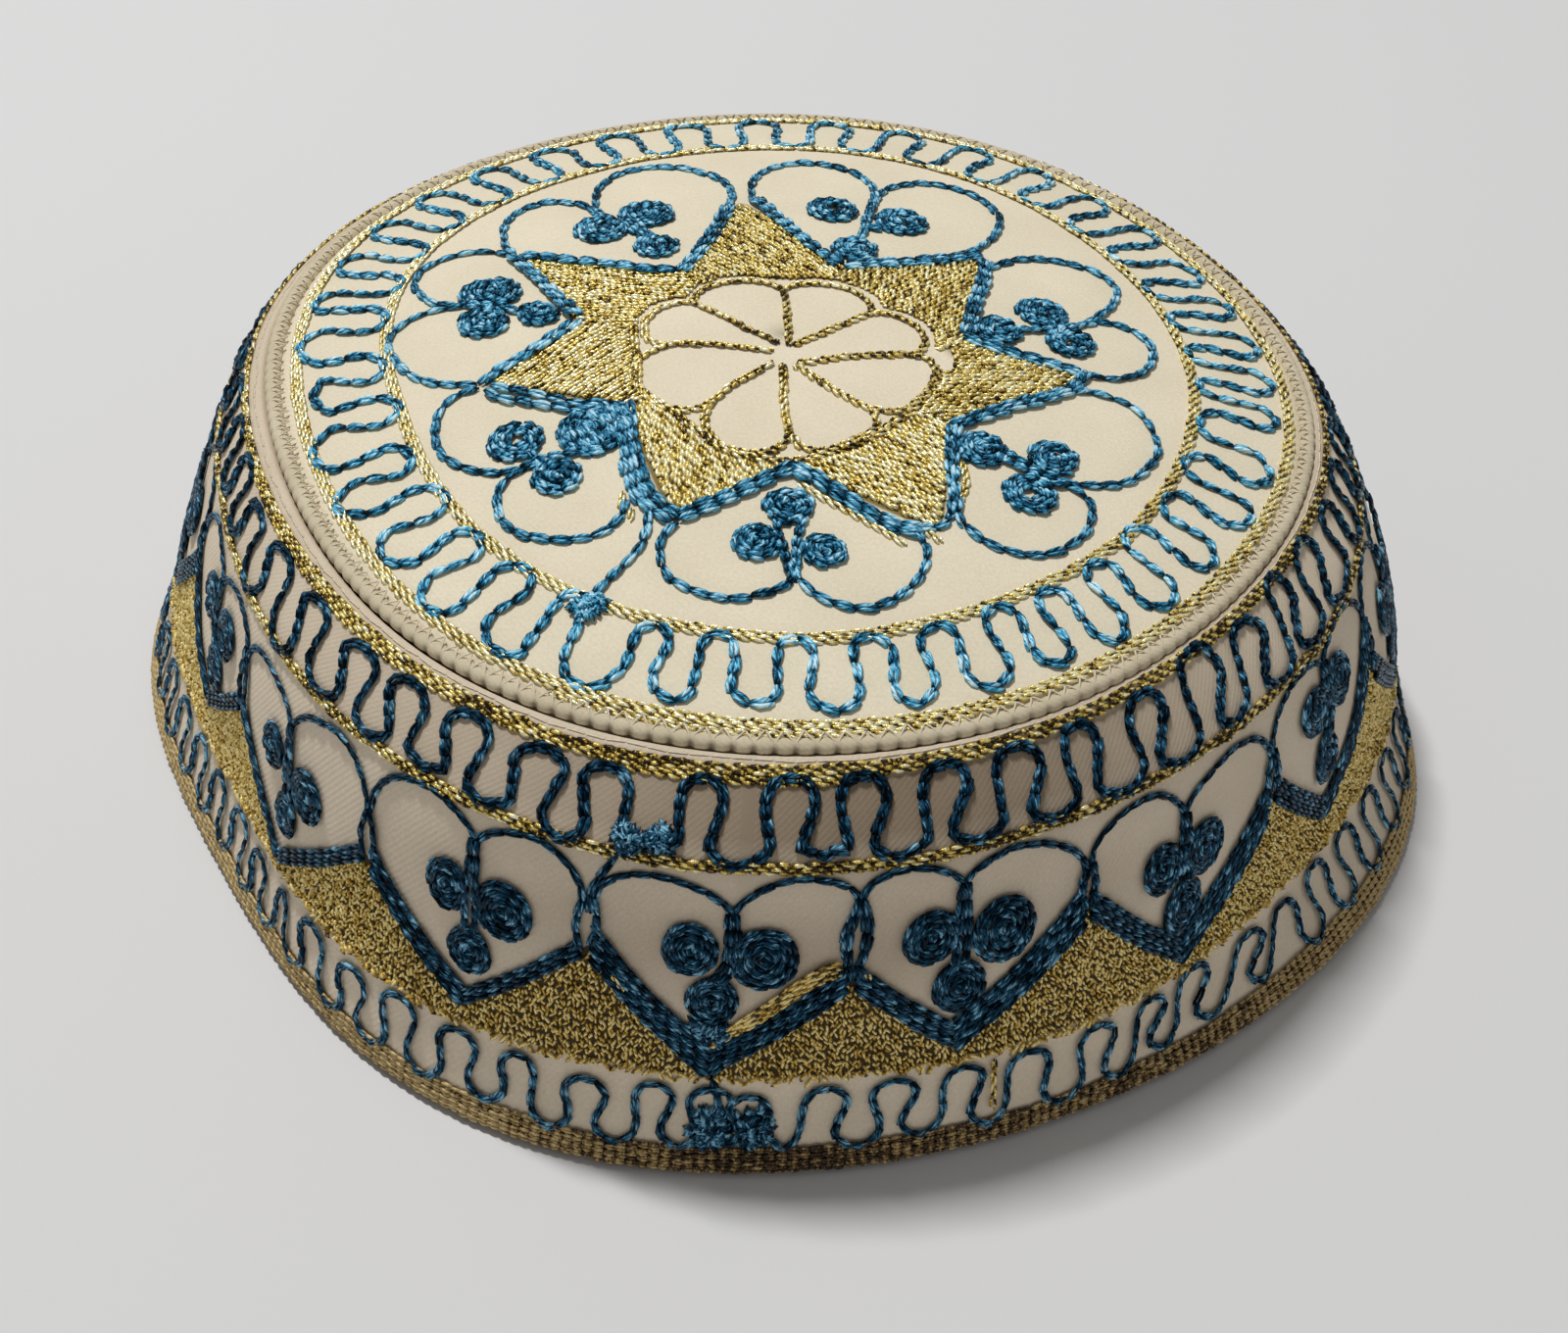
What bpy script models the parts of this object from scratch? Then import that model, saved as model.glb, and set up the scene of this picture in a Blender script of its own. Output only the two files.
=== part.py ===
"""Embroidered kufi: a domed crown, a corded seam, a side band and a bound rim.

Each piece of cloth is a closed wall. All of them follow one surface, which is read
from level rings: each ring has a height and twelve radii, clockwise seen from below,
starting at the front of the cap. Sizes are in millimetres and the scene is in metres.
"""
import math

import bmesh
import bpy
import numpy as np

MM = 0.001

# cloth and seams
CLOTH = 2.0            # quilted cotton, thickness of crown and side band
RIM_THICKNESS = 3.0    # cloth folded over at the rim
RIM_HEIGHT = 5.2       # width of the bound rim
RIM_ROUNDING = 1.3     # the folded edge turns under with this radius
PIPING_WIDTH = 3.4     # corded seam between crown and side band
PIPING_HEIGHT = 3.0    # from its underside to its top
PIPING_SINK = 0.1      # its middle lies this far below the outer face of the cloth
GAP = 0.3              # between neighbouring pieces

# outline
DOME = 9.6             # rise of the crown above its edge
AXIS_X = -1.8          # the crown's middle stands this far off the rim's middle
AXIS_Y = 0.2

# Rings from the top down: height, then the radius at 0, 30, 60 ... 330 degrees.
# 0 degrees is the front (-Y) and 90 degrees is the wearer's side at +X.
RINGS = {
    #            height   0     30    60    90    120   150   180   210   240   270   300   330
    "crown_edge": (57.4, 73.8, 72.5, 70.9, 72.8, 74.3, 78.1, 79.4, 77.0, 74.8, 69.8, 67.7, 71.8),
    "band_top":   (55.1, 79.4, 77.0, 75.6, 78.0, 79.4, 82.8, 83.9, 81.6, 80.0, 76.3, 74.2, 77.8),
    "shoulder":   (46.9, 88.2, 84.9, 83.1, 83.9, 85.4, 87.0, 87.4, 85.9, 85.1, 80.6, 79.5, 85.4),
    "middle":     (30.0, 91.2, 88.5, 87.7, 91.2, 89.9, 90.7, 90.8, 90.0, 89.8, 86.3, 83.3, 89.1),
    "base_line":  (13.3, 92.4, 90.7, 89.5, 95.0, 92.8, 93.5, 93.3, 92.9, 93.2, 90.8, 85.2, 91.5),
    "rim":        (0.0,  96.7, 94.0, 97.4, 99.7, 95.6, 96.7, 96.3, 95.8, 97.8, 95.3, 88.6, 94.9),
}
# share of the side band's height at which its five rings lie
BAND_STATIONS = (0.0, 0.235, 0.52, 0.80, 1.0)

# how finely the walls are divided
SEGMENTS = 80
CROWN_STEPS = (0.18, 0.36, 0.54, 0.72, 0.87, 1.0)
BAND_STEPS = (0.05, 0.11, 0.17, 0.235, 0.33, 0.42, 0.52, 0.66, 0.80, 0.87)
PIPING_SIDES = 10
ROUNDING_STEPS = 3

# share of the strip between crown edge and band top that the crown's cloth reaches
CROWN_REACH = 0.05

ANGLES = np.arange(SEGMENTS) * (2 * math.pi / SEGMENTS)


def remove_objects():
    for item in list(bpy.data.objects):
        bpy.data.objects.remove(item, do_unlink=True)


def smooth_radius(radii, angle):
    """Radius at any angle, by waves through the twelve measured ones."""
    total = 0.0
    for number, radius in enumerate(radii):
        turn = angle - math.radians(30 * number)
        waves = 1 + np.cos(6 * turn)
        for order in range(1, 6):
            waves = waves + 2 * np.cos(order * turn)
        total = total + radius * waves / 12
    return total


def knot_slopes(places, values):
    """Slopes of a curve through knots that never overshoots them."""
    steps = np.diff(places)
    rises = [(values[i + 1] - values[i]) / steps[i] for i in range(len(steps))]
    slopes = [rises[0]]
    for i in range(1, len(steps)):
        before, after = rises[i - 1], rises[i]
        agree = before * after > 0
        first = 2 * steps[i] + steps[i - 1]
        second = steps[i] + 2 * steps[i - 1]
        with np.errstate(divide="ignore", invalid="ignore"):
            mean = (first + second) / (first / before + second / after)
        slopes.append(np.where(agree, mean, 0.0))
    slopes.append(rises[-1])
    return slopes


def curve_through(places, values, at):
    """Value of the curve through the knots, straight on beyond either end."""
    slopes = knot_slopes(places, values)
    if at <= places[0]:
        return values[0] + slopes[0] * (at - places[0])
    if at >= places[-1]:
        return values[-1] + slopes[-1] * (at - places[-1])
    i = int(np.searchsorted(places, at, side="right")) - 1
    width = places[i + 1] - places[i]
    t = (at - places[i]) / width
    return (values[i] * (1 + 2 * t) * (1 - t) ** 2 + width * slopes[i] * t * (1 - t) ** 2
            + values[i + 1] * t * t * (3 - 2 * t) + width * slopes[i + 1] * t * t * (t - 1))


RADIUS = {name: smooth_radius(row[1:], ANGLES) for name, row in RINGS.items()}
HEIGHT = {name: np.full(SEGMENTS, row[0]) for name, row in RINGS.items()}
BAND_RINGS = ("band_top", "shoulder", "middle", "base_line", "rim")


def crown_ring(share):
    """Radius and height of the crown's outer face at a share of its edge radius."""
    return RADIUS["crown_edge"] * share, HEIGHT["crown_edge"] + DOME * (1 - share ** 2)


def band_ring(share):
    """Radius and height of the band's outer face, 0 at the seam and 1 at the rim."""
    radius = curve_through(BAND_STATIONS, [RADIUS[name] for name in BAND_RINGS], share)
    height = curve_through(BAND_STATIONS, [HEIGHT[name] for name in BAND_RINGS], share)
    return radius, height


def seam_ring(share):
    """A ring on the strip from the crown's edge (0) to the band's top (1)."""
    top, bottom = crown_ring(1.0), band_ring(0.0)
    return tuple(a + (b - a) * share for a, b in zip(top, bottom))


def inward(rings, thickness):
    """The same rings moved square to the wall, towards the inside of the cap."""
    moved = []
    for i, (radius, height) in enumerate(rings):
        before, after = rings[max(i - 1, 0)], rings[min(i + 1, len(rings) - 1)]
        along_r, along_z = after[0] - before[0], after[1] - before[1]
        length = np.hypot(along_r, along_z)
        moved.append((radius + along_z / length * thickness, height - along_r / length * thickness))
    return moved


def add_ring(mesh, ring):
    """A closed loop of vertices and edges."""
    verts = []
    for angle, radius, height in zip(ANGLES, *ring):
        x = AXIS_X + radius * math.sin(angle)
        y = AXIS_Y - radius * math.cos(angle)
        verts.append(mesh.verts.new((x * MM, y * MM, height * MM)))
    edges = []
    for i, vert in enumerate(verts):
        edges.append(mesh.edges.new((vert, verts[(i + 1) % SEGMENTS])))
    return verts, edges


def join_rings(mesh, upper, lower):
    for i in range(SEGMENTS):
        j = (i + 1) % SEGMENTS
        mesh.faces.new((upper[0][i], upper[0][j], lower[0][j], lower[0][i]))


def cap_ring(mesh, ring, height):
    """Closes a small ring with a fan round one middle vertex."""
    middle = mesh.verts.new((AXIS_X * MM, AXIS_Y * MM, height * MM))
    for i in range(SEGMENTS):
        mesh.faces.new((ring[0][i], ring[0][(i + 1) % SEGMENTS], middle))


def plain_material(name, colour, roughness, metallic=0.0):
    material = bpy.data.materials.new(name)
    material.use_nodes = True
    shader = material.node_tree.nodes["Principled BSDF"]
    shader.inputs["Base Color"].default_value = (*colour, 1.0)
    shader.inputs["Roughness"].default_value = roughness
    shader.inputs["Metallic"].default_value = metallic
    return material


def finish_piece(name, mesh, material):
    bmesh.ops.recalc_face_normals(mesh, faces=mesh.faces)
    data = bpy.data.meshes.new(name)
    mesh.to_mesh(data)
    mesh.free()
    data.materials.append(material)
    data.shade_smooth()
    data.set_sharp_from_angle(angle=math.radians(40))
    piece = bpy.data.objects.new(name, data)
    bpy.context.scene.collection.objects.link(piece)
    return piece


def ring_solid(name, section, material):
    """A closed solid from rings that go once round its cross-section."""
    mesh = bmesh.new()
    loops = [add_ring(mesh, ring) for ring in section]
    for upper, lower in zip(loops, loops[1:] + loops[:1]):
        join_rings(mesh, upper, lower)
    return finish_piece(name, mesh, material)


def build_crown_panel():
    """The domed top, cut square at its edge, where the seam's cord lies against it."""
    outer = [crown_ring(share) for share in CROWN_STEPS]
    outer.append(seam_ring(CROWN_REACH))
    inner = inward(outer, CLOTH)
    mesh = bmesh.new()
    outer_loops = [add_ring(mesh, ring) for ring in outer]
    inner_loops = [add_ring(mesh, ring) for ring in inner]
    for loops in (outer_loops, inner_loops):
        for upper, lower in zip(loops, loops[1:]):
            join_rings(mesh, upper, lower)
    join_rings(mesh, outer_loops[-1], inner_loops[-1])
    top = RINGS["crown_edge"][0] + DOME
    cap_ring(mesh, outer_loops[0], top)
    cap_ring(mesh, inner_loops[0], top - CLOTH)
    cloth = plain_material("crown_cotton", (0.75, 0.68, 0.55), 0.8)
    return finish_piece("crown_panel", mesh, cloth)


def build_seam_piping():
    """A round cord under cloth, all the way round between crown and band."""
    middle_r = seam_ring(CROWN_REACH)[0] + GAP + PIPING_WIDTH / 2
    middle_z = seam_ring(0.5)[1] - PIPING_SINK
    section = []
    for i in range(PIPING_SIDES):
        turn = 2 * math.pi * i / PIPING_SIDES
        radius = middle_r + PIPING_WIDTH / 2 * math.cos(turn)
        height = middle_z + PIPING_HEIGHT / 2 * math.sin(turn)
        section.append((radius, height))
    cloth = plain_material("piping_cotton", (0.78, 0.72, 0.60), 0.75)
    return ring_solid("seam_piping", section, cloth)


def band_edge():
    """The band's upper edge, next to the cord, on the strip above its top ring."""
    edge_r, edge_z = crown_ring(1.0)
    top_r, top_z = band_ring(0.0)
    radius = seam_ring(CROWN_REACH)[0] + PIPING_WIDTH + 2 * GAP
    share = (radius - edge_r) / (top_r - edge_r)
    return radius, edge_z + (top_z - edge_z) * share


def build_side_band():
    """The tall band, from the seam's cord down to the bound rim."""
    outer = [band_edge(), band_ring(0.0)]
    outer += [band_ring(share) for share in BAND_STEPS]
    bottom_radius, bottom_height = rim_top()
    outer.append((bottom_radius, bottom_height + GAP))
    inner = inward(outer, CLOTH)
    upright_edge = (outer[0][0], outer[0][1] - CLOTH)
    flat_end = (inner[-1][0], outer[-1][1])
    inner = [upright_edge] + inner[2:-1] + [flat_end]
    cloth = plain_material("band_cotton", (0.62, 0.55, 0.45), 0.8)
    return ring_solid("side_band", outer + inner[::-1], cloth)


def rim_top():
    """Radius and height of the band's outer face at the top of the bound rim."""
    lower, upper = band_ring(1.0), band_ring(BAND_STATIONS[3])
    share = RIM_HEIGHT / (upper[1] - lower[1])
    return lower[0] + (upper[0] - lower[0]) * share, lower[1] + RIM_HEIGHT


def build_rim_binding():
    """The folded edge: it stands on its flat underside and turns under outside."""
    top_radius, top_height = rim_top()
    foot_radius = band_ring(1.0)[0]
    outer = [(top_radius, top_height)]
    lean = (foot_radius - top_radius) / RIM_HEIGHT
    turn_height = np.full(SEGMENTS, RIM_ROUNDING)
    turn_radius = foot_radius - lean * RIM_ROUNDING
    for i in range(ROUNDING_STEPS + 1):
        turn = math.pi / 2 * i / ROUNDING_STEPS
        radius = turn_radius - RIM_ROUNDING * (1 - math.cos(turn))
        height = turn_height - RIM_ROUNDING * math.sin(turn)
        outer.append((radius, height))
    foot_inside = turn_radius - RIM_THICKNESS
    top_inside = top_radius - RIM_THICKNESS
    inner = [(foot_inside, np.zeros(SEGMENTS)), (top_inside, top_height)]
    gold = plain_material("rim_gold_thread", (0.50, 0.38, 0.17), 0.5, 0.3)
    return ring_solid("rim_binding", outer + inner, gold)


remove_objects()
build_crown_panel()
build_seam_piping()
build_side_band()
build_rim_binding()
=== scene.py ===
import math

import bpy
import numpy as np
from mathutils import Matrix, Vector


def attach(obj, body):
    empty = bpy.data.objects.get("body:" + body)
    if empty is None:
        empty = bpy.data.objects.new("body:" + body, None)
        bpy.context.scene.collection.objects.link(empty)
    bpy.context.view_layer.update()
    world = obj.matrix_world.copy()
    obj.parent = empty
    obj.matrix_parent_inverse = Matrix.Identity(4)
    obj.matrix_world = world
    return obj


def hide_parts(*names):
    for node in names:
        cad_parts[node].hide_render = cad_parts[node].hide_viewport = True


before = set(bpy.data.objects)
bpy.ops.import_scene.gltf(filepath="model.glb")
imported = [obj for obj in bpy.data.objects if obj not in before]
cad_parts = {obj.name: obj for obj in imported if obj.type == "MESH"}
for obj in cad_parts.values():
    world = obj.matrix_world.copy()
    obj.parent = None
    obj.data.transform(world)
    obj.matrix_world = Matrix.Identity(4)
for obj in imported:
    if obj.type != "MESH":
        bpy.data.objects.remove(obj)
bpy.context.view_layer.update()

MM = 0.001
PHOTO_WIDTH = 1600
rng = np.random.default_rng(17)

# The cap's shape.
# Height in mm, then the radius in mm at 0, 30, ... 330 degrees. 0 is the front, 90 the wearer's left.
RINGS = {
    "crown_edge": (57.4, 73.8, 72.5, 70.9, 72.8, 74.3, 78.1, 79.4, 77.0, 74.8, 69.8, 67.7, 71.8),
    "band_top": (55.1, 79.4, 77.0, 75.6, 78.0, 79.4, 82.8, 83.9, 81.6, 80.0, 76.3, 74.2, 77.8),
    "shoulder": (46.9, 88.2, 84.9, 83.1, 83.9, 85.4, 87.0, 87.4, 85.9, 85.1, 80.6, 79.5, 85.4),
    "middle": (30.0, 91.2, 88.5, 87.7, 91.2, 89.9, 90.7, 90.8, 90.0, 89.8, 86.3, 83.3, 89.1),
    "base_line": (13.3, 92.4, 90.7, 89.5, 95.0, 92.8, 93.5, 93.3, 92.9, 93.2, 90.8, 85.2, 91.5),
    "rim": (0.0, 96.7, 94.0, 97.4, 99.7, 95.6, 96.7, 96.3, 95.8, 97.8, 95.3, 88.6, 94.9),
}
BAND_RINGS = ("band_top", "shoulder", "middle", "base_line", "rim")
BAND_STATIONS = (0.0, 0.235, 0.52, 0.80, 1.0)
AXIS_X = -1.8
AXIS_Y = 0.2
DOME = 9.6            # rise of the crown over its edge
CHART_EDGE = 73.0     # the crown's edge on the embroidery chart, a true circle there
CLOTH = 2.0           # quilted thickness of the cloth
SIDE_SINK = 0.45      # the cloth lies this far inside, so that the thread on it reaches the cap's outline
CROWN_SINK = 0.3


def ring_table(radii, count=720):
    """The ring's radius every half degree, as smooth waves through its twelve radii."""
    angle = np.arange(count) * 2 * math.pi / count
    total = np.zeros(count)
    for place, radius in enumerate(radii):
        turn = angle - math.radians(30 * place)
        weight = 1 + np.cos(6 * turn)
        for order in range(1, 6):
            weight = weight + 2 * np.cos(order * turn)
        total += radius * weight / 12
    return total


RING_TABLES = {name: ring_table(values[1:]) for name, values in RINGS.items()}


def ring_radius(name, degrees):
    table = RING_TABLES[name]
    place = np.mod(np.asarray(degrees, float), 360.0) * len(table) / 360.0
    low = np.floor(place).astype(int)
    part = place - low
    return table[low % len(table)] * (1 - part) + table[(low + 1) % len(table)] * part


def bend(first, last, first_pull, last_pull, width, t):
    """A smooth curve from one value to the next, with a given slope at both."""
    return (first * (1 + 2 * t) * (1 - t) ** 2 + width * first_pull * t * (1 - t) ** 2
            + last * t * t * (3 - 2 * t) + width * last_pull * t * t * (t - 1))


def knot_slopes(stations, values):
    """Slopes at the rings that keep the curve from swinging past them."""
    steps = np.diff(stations)
    rates = [(values[i + 1] - values[i]) / steps[i] for i in range(len(steps))]
    slopes = [rates[0]]
    for i in range(1, len(steps)):
        before, after = rates[i - 1], rates[i]
        near, far = 2 * steps[i] + steps[i - 1], steps[i] + 2 * steps[i - 1]
        with np.errstate(divide="ignore", invalid="ignore"):
            mean = (near + far) / (near / before + far / after)
        slopes.append(np.where(before * after > 0, mean, 0.0))
    return slopes + [rates[-1]]


def band_curve(values, share):
    """A smooth curve through the band's five rings. It runs straight on past both ends."""
    slopes = knot_slopes(BAND_STATIONS, values)
    inside = np.clip(share, 0.0, 1.0)
    out = np.zeros_like(inside)
    for i in range(4):
        start, stop = BAND_STATIONS[i], BAND_STATIONS[i + 1]
        t = (inside - start) / (stop - start)
        curve = bend(values[i], values[i + 1], slopes[i], slopes[i + 1], stop - start, t)
        out = np.where((inside >= start) & (inside <= stop), curve, out)
    return out + slopes[0] * np.minimum(share, 0) + slopes[-1] * np.maximum(share - 1, 0)


def ripples(across, along, size, count, seed, shortest, longest):
    """Soft random unevenness of stitched cloth, in mm."""
    waves = np.random.default_rng(seed)
    total = np.zeros_like(np.asarray(across, float))
    for _ in range(count):
        turn = waves.uniform(0, math.tau)
        length = waves.uniform(shortest, longest)
        total += np.sin((across * math.cos(turn) + along * math.sin(turn)) * math.tau / length
                        + waves.uniform(0, math.tau))
    return size * total / math.sqrt(count)


def fading(value, middle, reach):
    """1 at the middle, fading on both sides of it."""
    return np.exp(-((value - middle) / reach) ** 2)


def round_axis(degrees, radius, height):
    """Places at an angle and a radius round the cap's middle."""
    turn = np.radians(degrees)
    return np.stack([AXIS_X + radius * np.sin(turn), AXIS_Y - radius * np.cos(turn), height], -1)


def crown_place(chart):
    """Chart place (right, back) in mm to a place on the crown."""
    u, w = chart[..., 0], chart[..., 1]
    share = np.hypot(u, w) / CHART_EDGE
    degrees = np.degrees(np.arctan2(u, -w))
    lift = ripples(u, w, 0.10, 7, 3, 14, 40) * np.clip(1.3 * (1 - share), 0, 1)
    height = RINGS["crown_edge"][0] + DOME * (1 - share ** 2) + lift - CROWN_SINK
    return round_axis(degrees, ring_radius("crown_edge", degrees) * share, height)


def side_place(chart):
    """Chart place (degrees, share of the band from seam to rim) to a place on the side."""
    degrees, share = chart[..., 0], chart[..., 1]
    radius = band_curve([ring_radius(name, degrees) for name in BAND_RINGS], share)
    height = band_curve([np.full_like(share, RINGS[name][0]) for name in BAND_RINGS], share)
    turn = np.radians(degrees)
    fade = np.clip(np.minimum(share, 1 - share) * 8, 0, 1)
    waves = ripples(90 * np.cos(turn), 90 * np.sin(turn) + 55 * share, 0.12, 7, 5, 12, 45)
    return round_axis(degrees, radius - SIDE_SINK + fade * waves, height)


def seam_place(degrees, share, lift):
    """A place between the crown's edge (share 0) and the top of the side (share 1), lifted in mm."""
    first, last = RINGS["crown_edge"][0], RINGS["band_top"][0]
    start = ring_radius("crown_edge", degrees)
    radius = start + (ring_radius("band_top", degrees) - start) * share
    return round_axis(degrees, radius, first + (last - first) * share + lift + np.zeros_like(radius))


# A chart: how its places lie on the cap, the mm of each of its two units, which way its front faces, and
# its slot.
CROWN = {"place": crown_place, "scale": (1.0, 1.0), "faces": 1.0, "slot": "crown_cotton"}
SIDE = {"place": side_place, "scale": (1.57, 57.0), "faces": -1.0, "slot": "band_cotton"}


def lie_on(chart, points):
    """Places on the cap and the directions away from the cloth there."""
    points = np.asarray(points, float)
    step = 0.02 / np.array(chart["scale"])
    here = chart["place"](points)
    first = chart["place"](points + (step[0], 0)) - here
    second = chart["place"](points + (0, step[1])) - here
    away = np.cross(first, second) * chart["faces"]
    return here, away / np.linalg.norm(away, axis=-1, keepdims=True)


# Lines of thread.
def rounded(chart, points, step=0.3):
    """A charted line as a smooth run of close points on the chart."""
    points = np.asarray(points, float)
    gaps = np.linalg.norm(np.diff(points, axis=0) * chart["scale"], axis=1)
    marks = np.concatenate([[0.0], np.cumsum(np.sqrt(gaps))])
    if len(points) == 2:
        pull = np.repeat((points[1:] - points[:1]) / marks[1], 2, axis=0)
    else:
        pull = np.gradient(points, marks, axis=0)
    count = max(4, int(gaps.sum() / step))
    where = np.linspace(0, marks[-1], count)
    low = np.clip(np.searchsorted(marks, where, side="right") - 1, 0, len(points) - 2)
    width = (marks[low + 1] - marks[low])[:, None]
    t = (where - marks[low])[:, None] / width
    return bend(points[low], points[low + 1], pull[low], pull[low + 1], width, t)


def running(points):
    """The running length at each point."""
    return np.concatenate([[0.0], np.cumsum(np.linalg.norm(np.diff(points, axis=0), axis=1))])


def strung(chart, points, shift):
    """The line on the cap: places, away directions and running length, shifted sideways in mm."""
    here, away = lie_on(chart, rounded(chart, points))
    if shift:
        along = np.gradient(here, axis=0)
        across = np.cross(away, along)
        here = here + shift * across / np.linalg.norm(across, axis=1, keepdims=True)
    return here, away, running(here)


def pick(length, values, where):
    return np.stack([np.interp(where, length, values[:, i]) for i in range(3)], -1)


def unit(vectors):
    return vectors / np.maximum(np.linalg.norm(vectors, axis=-1, keepdims=True), 1e-9)


# The outline of one strand of a chain stitch, from where it leaves the cloth to where it goes back:
# share of the link, sideways place, height and thickness as shares of the link's width.
STRAND = np.array([
    (-0.20, 0.03, 0.06, 0.00),
    (-0.02, 0.12, 0.30, 0.19),
    (0.34, 0.23, 0.36, 0.27),
    (0.72, 0.30, 0.32, 0.27),
    (0.98, 0.25, 0.17, 0.21),
    (1.14, 0.04, -0.08, 0.00),
])
SHORT_STRAND = np.array([
    (-0.20, 0.04, 0.06, 0.00),
    (0.02, 0.14, 0.32, 0.22),
    (0.50, 0.27, 0.36, 0.29),
    (0.95, 0.25, 0.18, 0.23),
    (1.15, 0.04, -0.08, 0.00),
])
# The same for the side's thread, whose links run into each other more smoothly.
SMOOTH_STRAND = np.array([
    (-0.20, 0.12, 0.10, 0.00),
    (0.02, 0.20, 0.30, 0.25),
    (0.50, 0.25, 0.36, 0.28),
    (0.95, 0.24, 0.22, 0.25),
    (1.15, 0.14, 0.00, 0.00),
])


def end_shade(tone, share, depth=0.6):
    """A strand's tone along its length, with painted shade: dark where it comes up from under the link before
    and a little darker where it goes down into the cloth.
    """
    start = 1.7 * np.clip(1 - share / 0.42, 0, 1) ** 1.3
    stop = 0.7 * np.clip((share - 0.66) / 0.34, 0, 1) ** 1.5
    return np.clip(tone, 0, 1)[:, None] - depth * (start + stop)


def chain(chart, lines, link, width, shape=STRAND, shifts=(0.0,), lift=0.0, wobble=0.06, skew=-0.16,
          depth=0.6, uneven=0.2, bright=0.5, stagger=0.0):
    """Chain stitch along the lines, in rows shifted sideways in mm. Each link is two strands that lie side
    by side, a little slanted. With stagger, one of the two lies that share of a link ahead of the other."""
    strands = []
    for points, shift in [(line, shift) for line in lines for shift in shifts]:
        here, away, length = strung(chart, points, shift)
        count = max(1, int(round(length[-1] / link)))
        step = length[-1] / count
        starts = (np.arange(count) + rng.uniform(-0.08, 0.08, count)) * step
        size = width * rng.uniform(0.92, 1.08, (count, 1))
        drift = rng.normal(0, wobble, (count, 1, 1)) * width
        slant = rng.uniform(0.6, 1.4, (count, 1)) * skew * (shape[:, 0] - 0.5)
        tone = rng.uniform(bright - uneven, bright + uneven, count)
        part = (shape[:, 0] - shape[0, 0]) / (shape[-1, 0] - shape[0, 0])
        for hand in (-1, 1):
            where = starts[:, None] + (shape[None, :, 0] + hand * stagger / 2) * step
            spine = pick(length, here, where)
            up = unit(pick(length, away, where))
            ahead = unit(pick(length, here, where + 0.15) - pick(length, here, where - 0.15))
            across = unit(np.cross(up, ahead))
            aside = (hand * shape[:, 1] + slant) * size
            strands.append({
                "spine": spine + across * aside[..., None] + across * drift
                         + up * ((shape[:, 2] + 0.05 * hand) * size + lift)[..., None],
                "across": across,
                "up": up,
                "wide": shape[:, 3] * size * rng.uniform(0.9, 1.1, (count, 1)),
                "high": shape[:, 3] * size * 0.92,
                "tone": end_shade(tone + rng.normal(0, 0.12, count), part, depth),
            })
    return gather(strands)


def gather(strands):
    return {key: np.concatenate([strand[key] for strand in strands]) for key in strands[0]}


# A short stitch of a filled field: share of its length, height and thickness as shares of its thickness.
STITCH = np.array([(-0.5, -0.5, 0.0), (-0.24, 0.6, 0.95), (0.24, 0.6, 0.95), (0.5, -0.5, 0.0)])


def field(chart, points, turns, long, thick, lift=0.0):
    """Short separate stitches at the points, each turned by its own angle in degrees on the cloth."""
    here, away = lie_on(chart, points)
    ahead_chart = np.asarray(points, float) + (0.3 / chart["scale"][0], 0)
    right = unit(chart["place"](ahead_chart) - here)
    other = unit(np.cross(away, right))
    turn = np.radians(turns)[:, None]
    ahead = np.cos(turn) * right + np.sin(turn) * other
    across = unit(np.cross(away, ahead))
    count = len(here)
    long = long * rng.uniform(0.75, 1.25, count)[:, None]
    thick = thick * rng.uniform(0.8, 1.2, count)[:, None]
    tilt = rng.normal(0, 0.16, count)[:, None]
    reach = STITCH[:, 0] * long
    rise = STITCH[:, 1] * thick + reach * tilt + lift
    spine = here[:, None] + ahead[:, None] * reach[..., None] + away[:, None] * rise[..., None]
    shape = spine.shape
    return {
        "spine": spine, "across": np.broadcast_to(across[:, None], shape),
        "up": np.broadcast_to(away[:, None], shape), "wide": STITCH[:, 2] * thick,
        "high": STITCH[:, 2] * thick * 0.9,
        "tone": end_shade(rng.uniform(0.35, 1.0, count), STITCH[:, 0] + 0.5, 0.55),
    }


# Meshes.
def make_mesh(name, verts, corners, sizes, material, uv, marks):
    mesh = bpy.data.meshes.new(name)
    mesh.vertices.add(len(verts))
    mesh.vertices.foreach_set("co", (np.asarray(verts, np.float32) * MM).ravel())
    mesh.loops.add(len(corners))
    mesh.loops.foreach_set("vertex_index", corners.astype(np.int32))
    mesh.polygons.add(len(sizes))
    starts = np.concatenate([[0], np.cumsum(sizes)[:-1]])
    mesh.polygons.foreach_set("loop_start", starts.astype(np.int32))
    mesh.polygons.foreach_set("use_smooth", np.ones(len(sizes), bool))
    layer = mesh.uv_layers.new(name="thread")
    layer.data.foreach_set("uv", np.asarray(uv, np.float32).ravel())
    for mark_name, values in marks.items():
        layer = mesh.attributes.new(mark_name, "FLOAT", "POINT")
        layer.data.foreach_set("value", np.asarray(values, np.float32).ravel())
    mesh.update(calc_edges=True)
    mesh.materials.append(material)
    piece = bpy.data.objects.new(name, mesh)
    bpy.context.scene.collection.objects.link(piece)
    return piece


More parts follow.
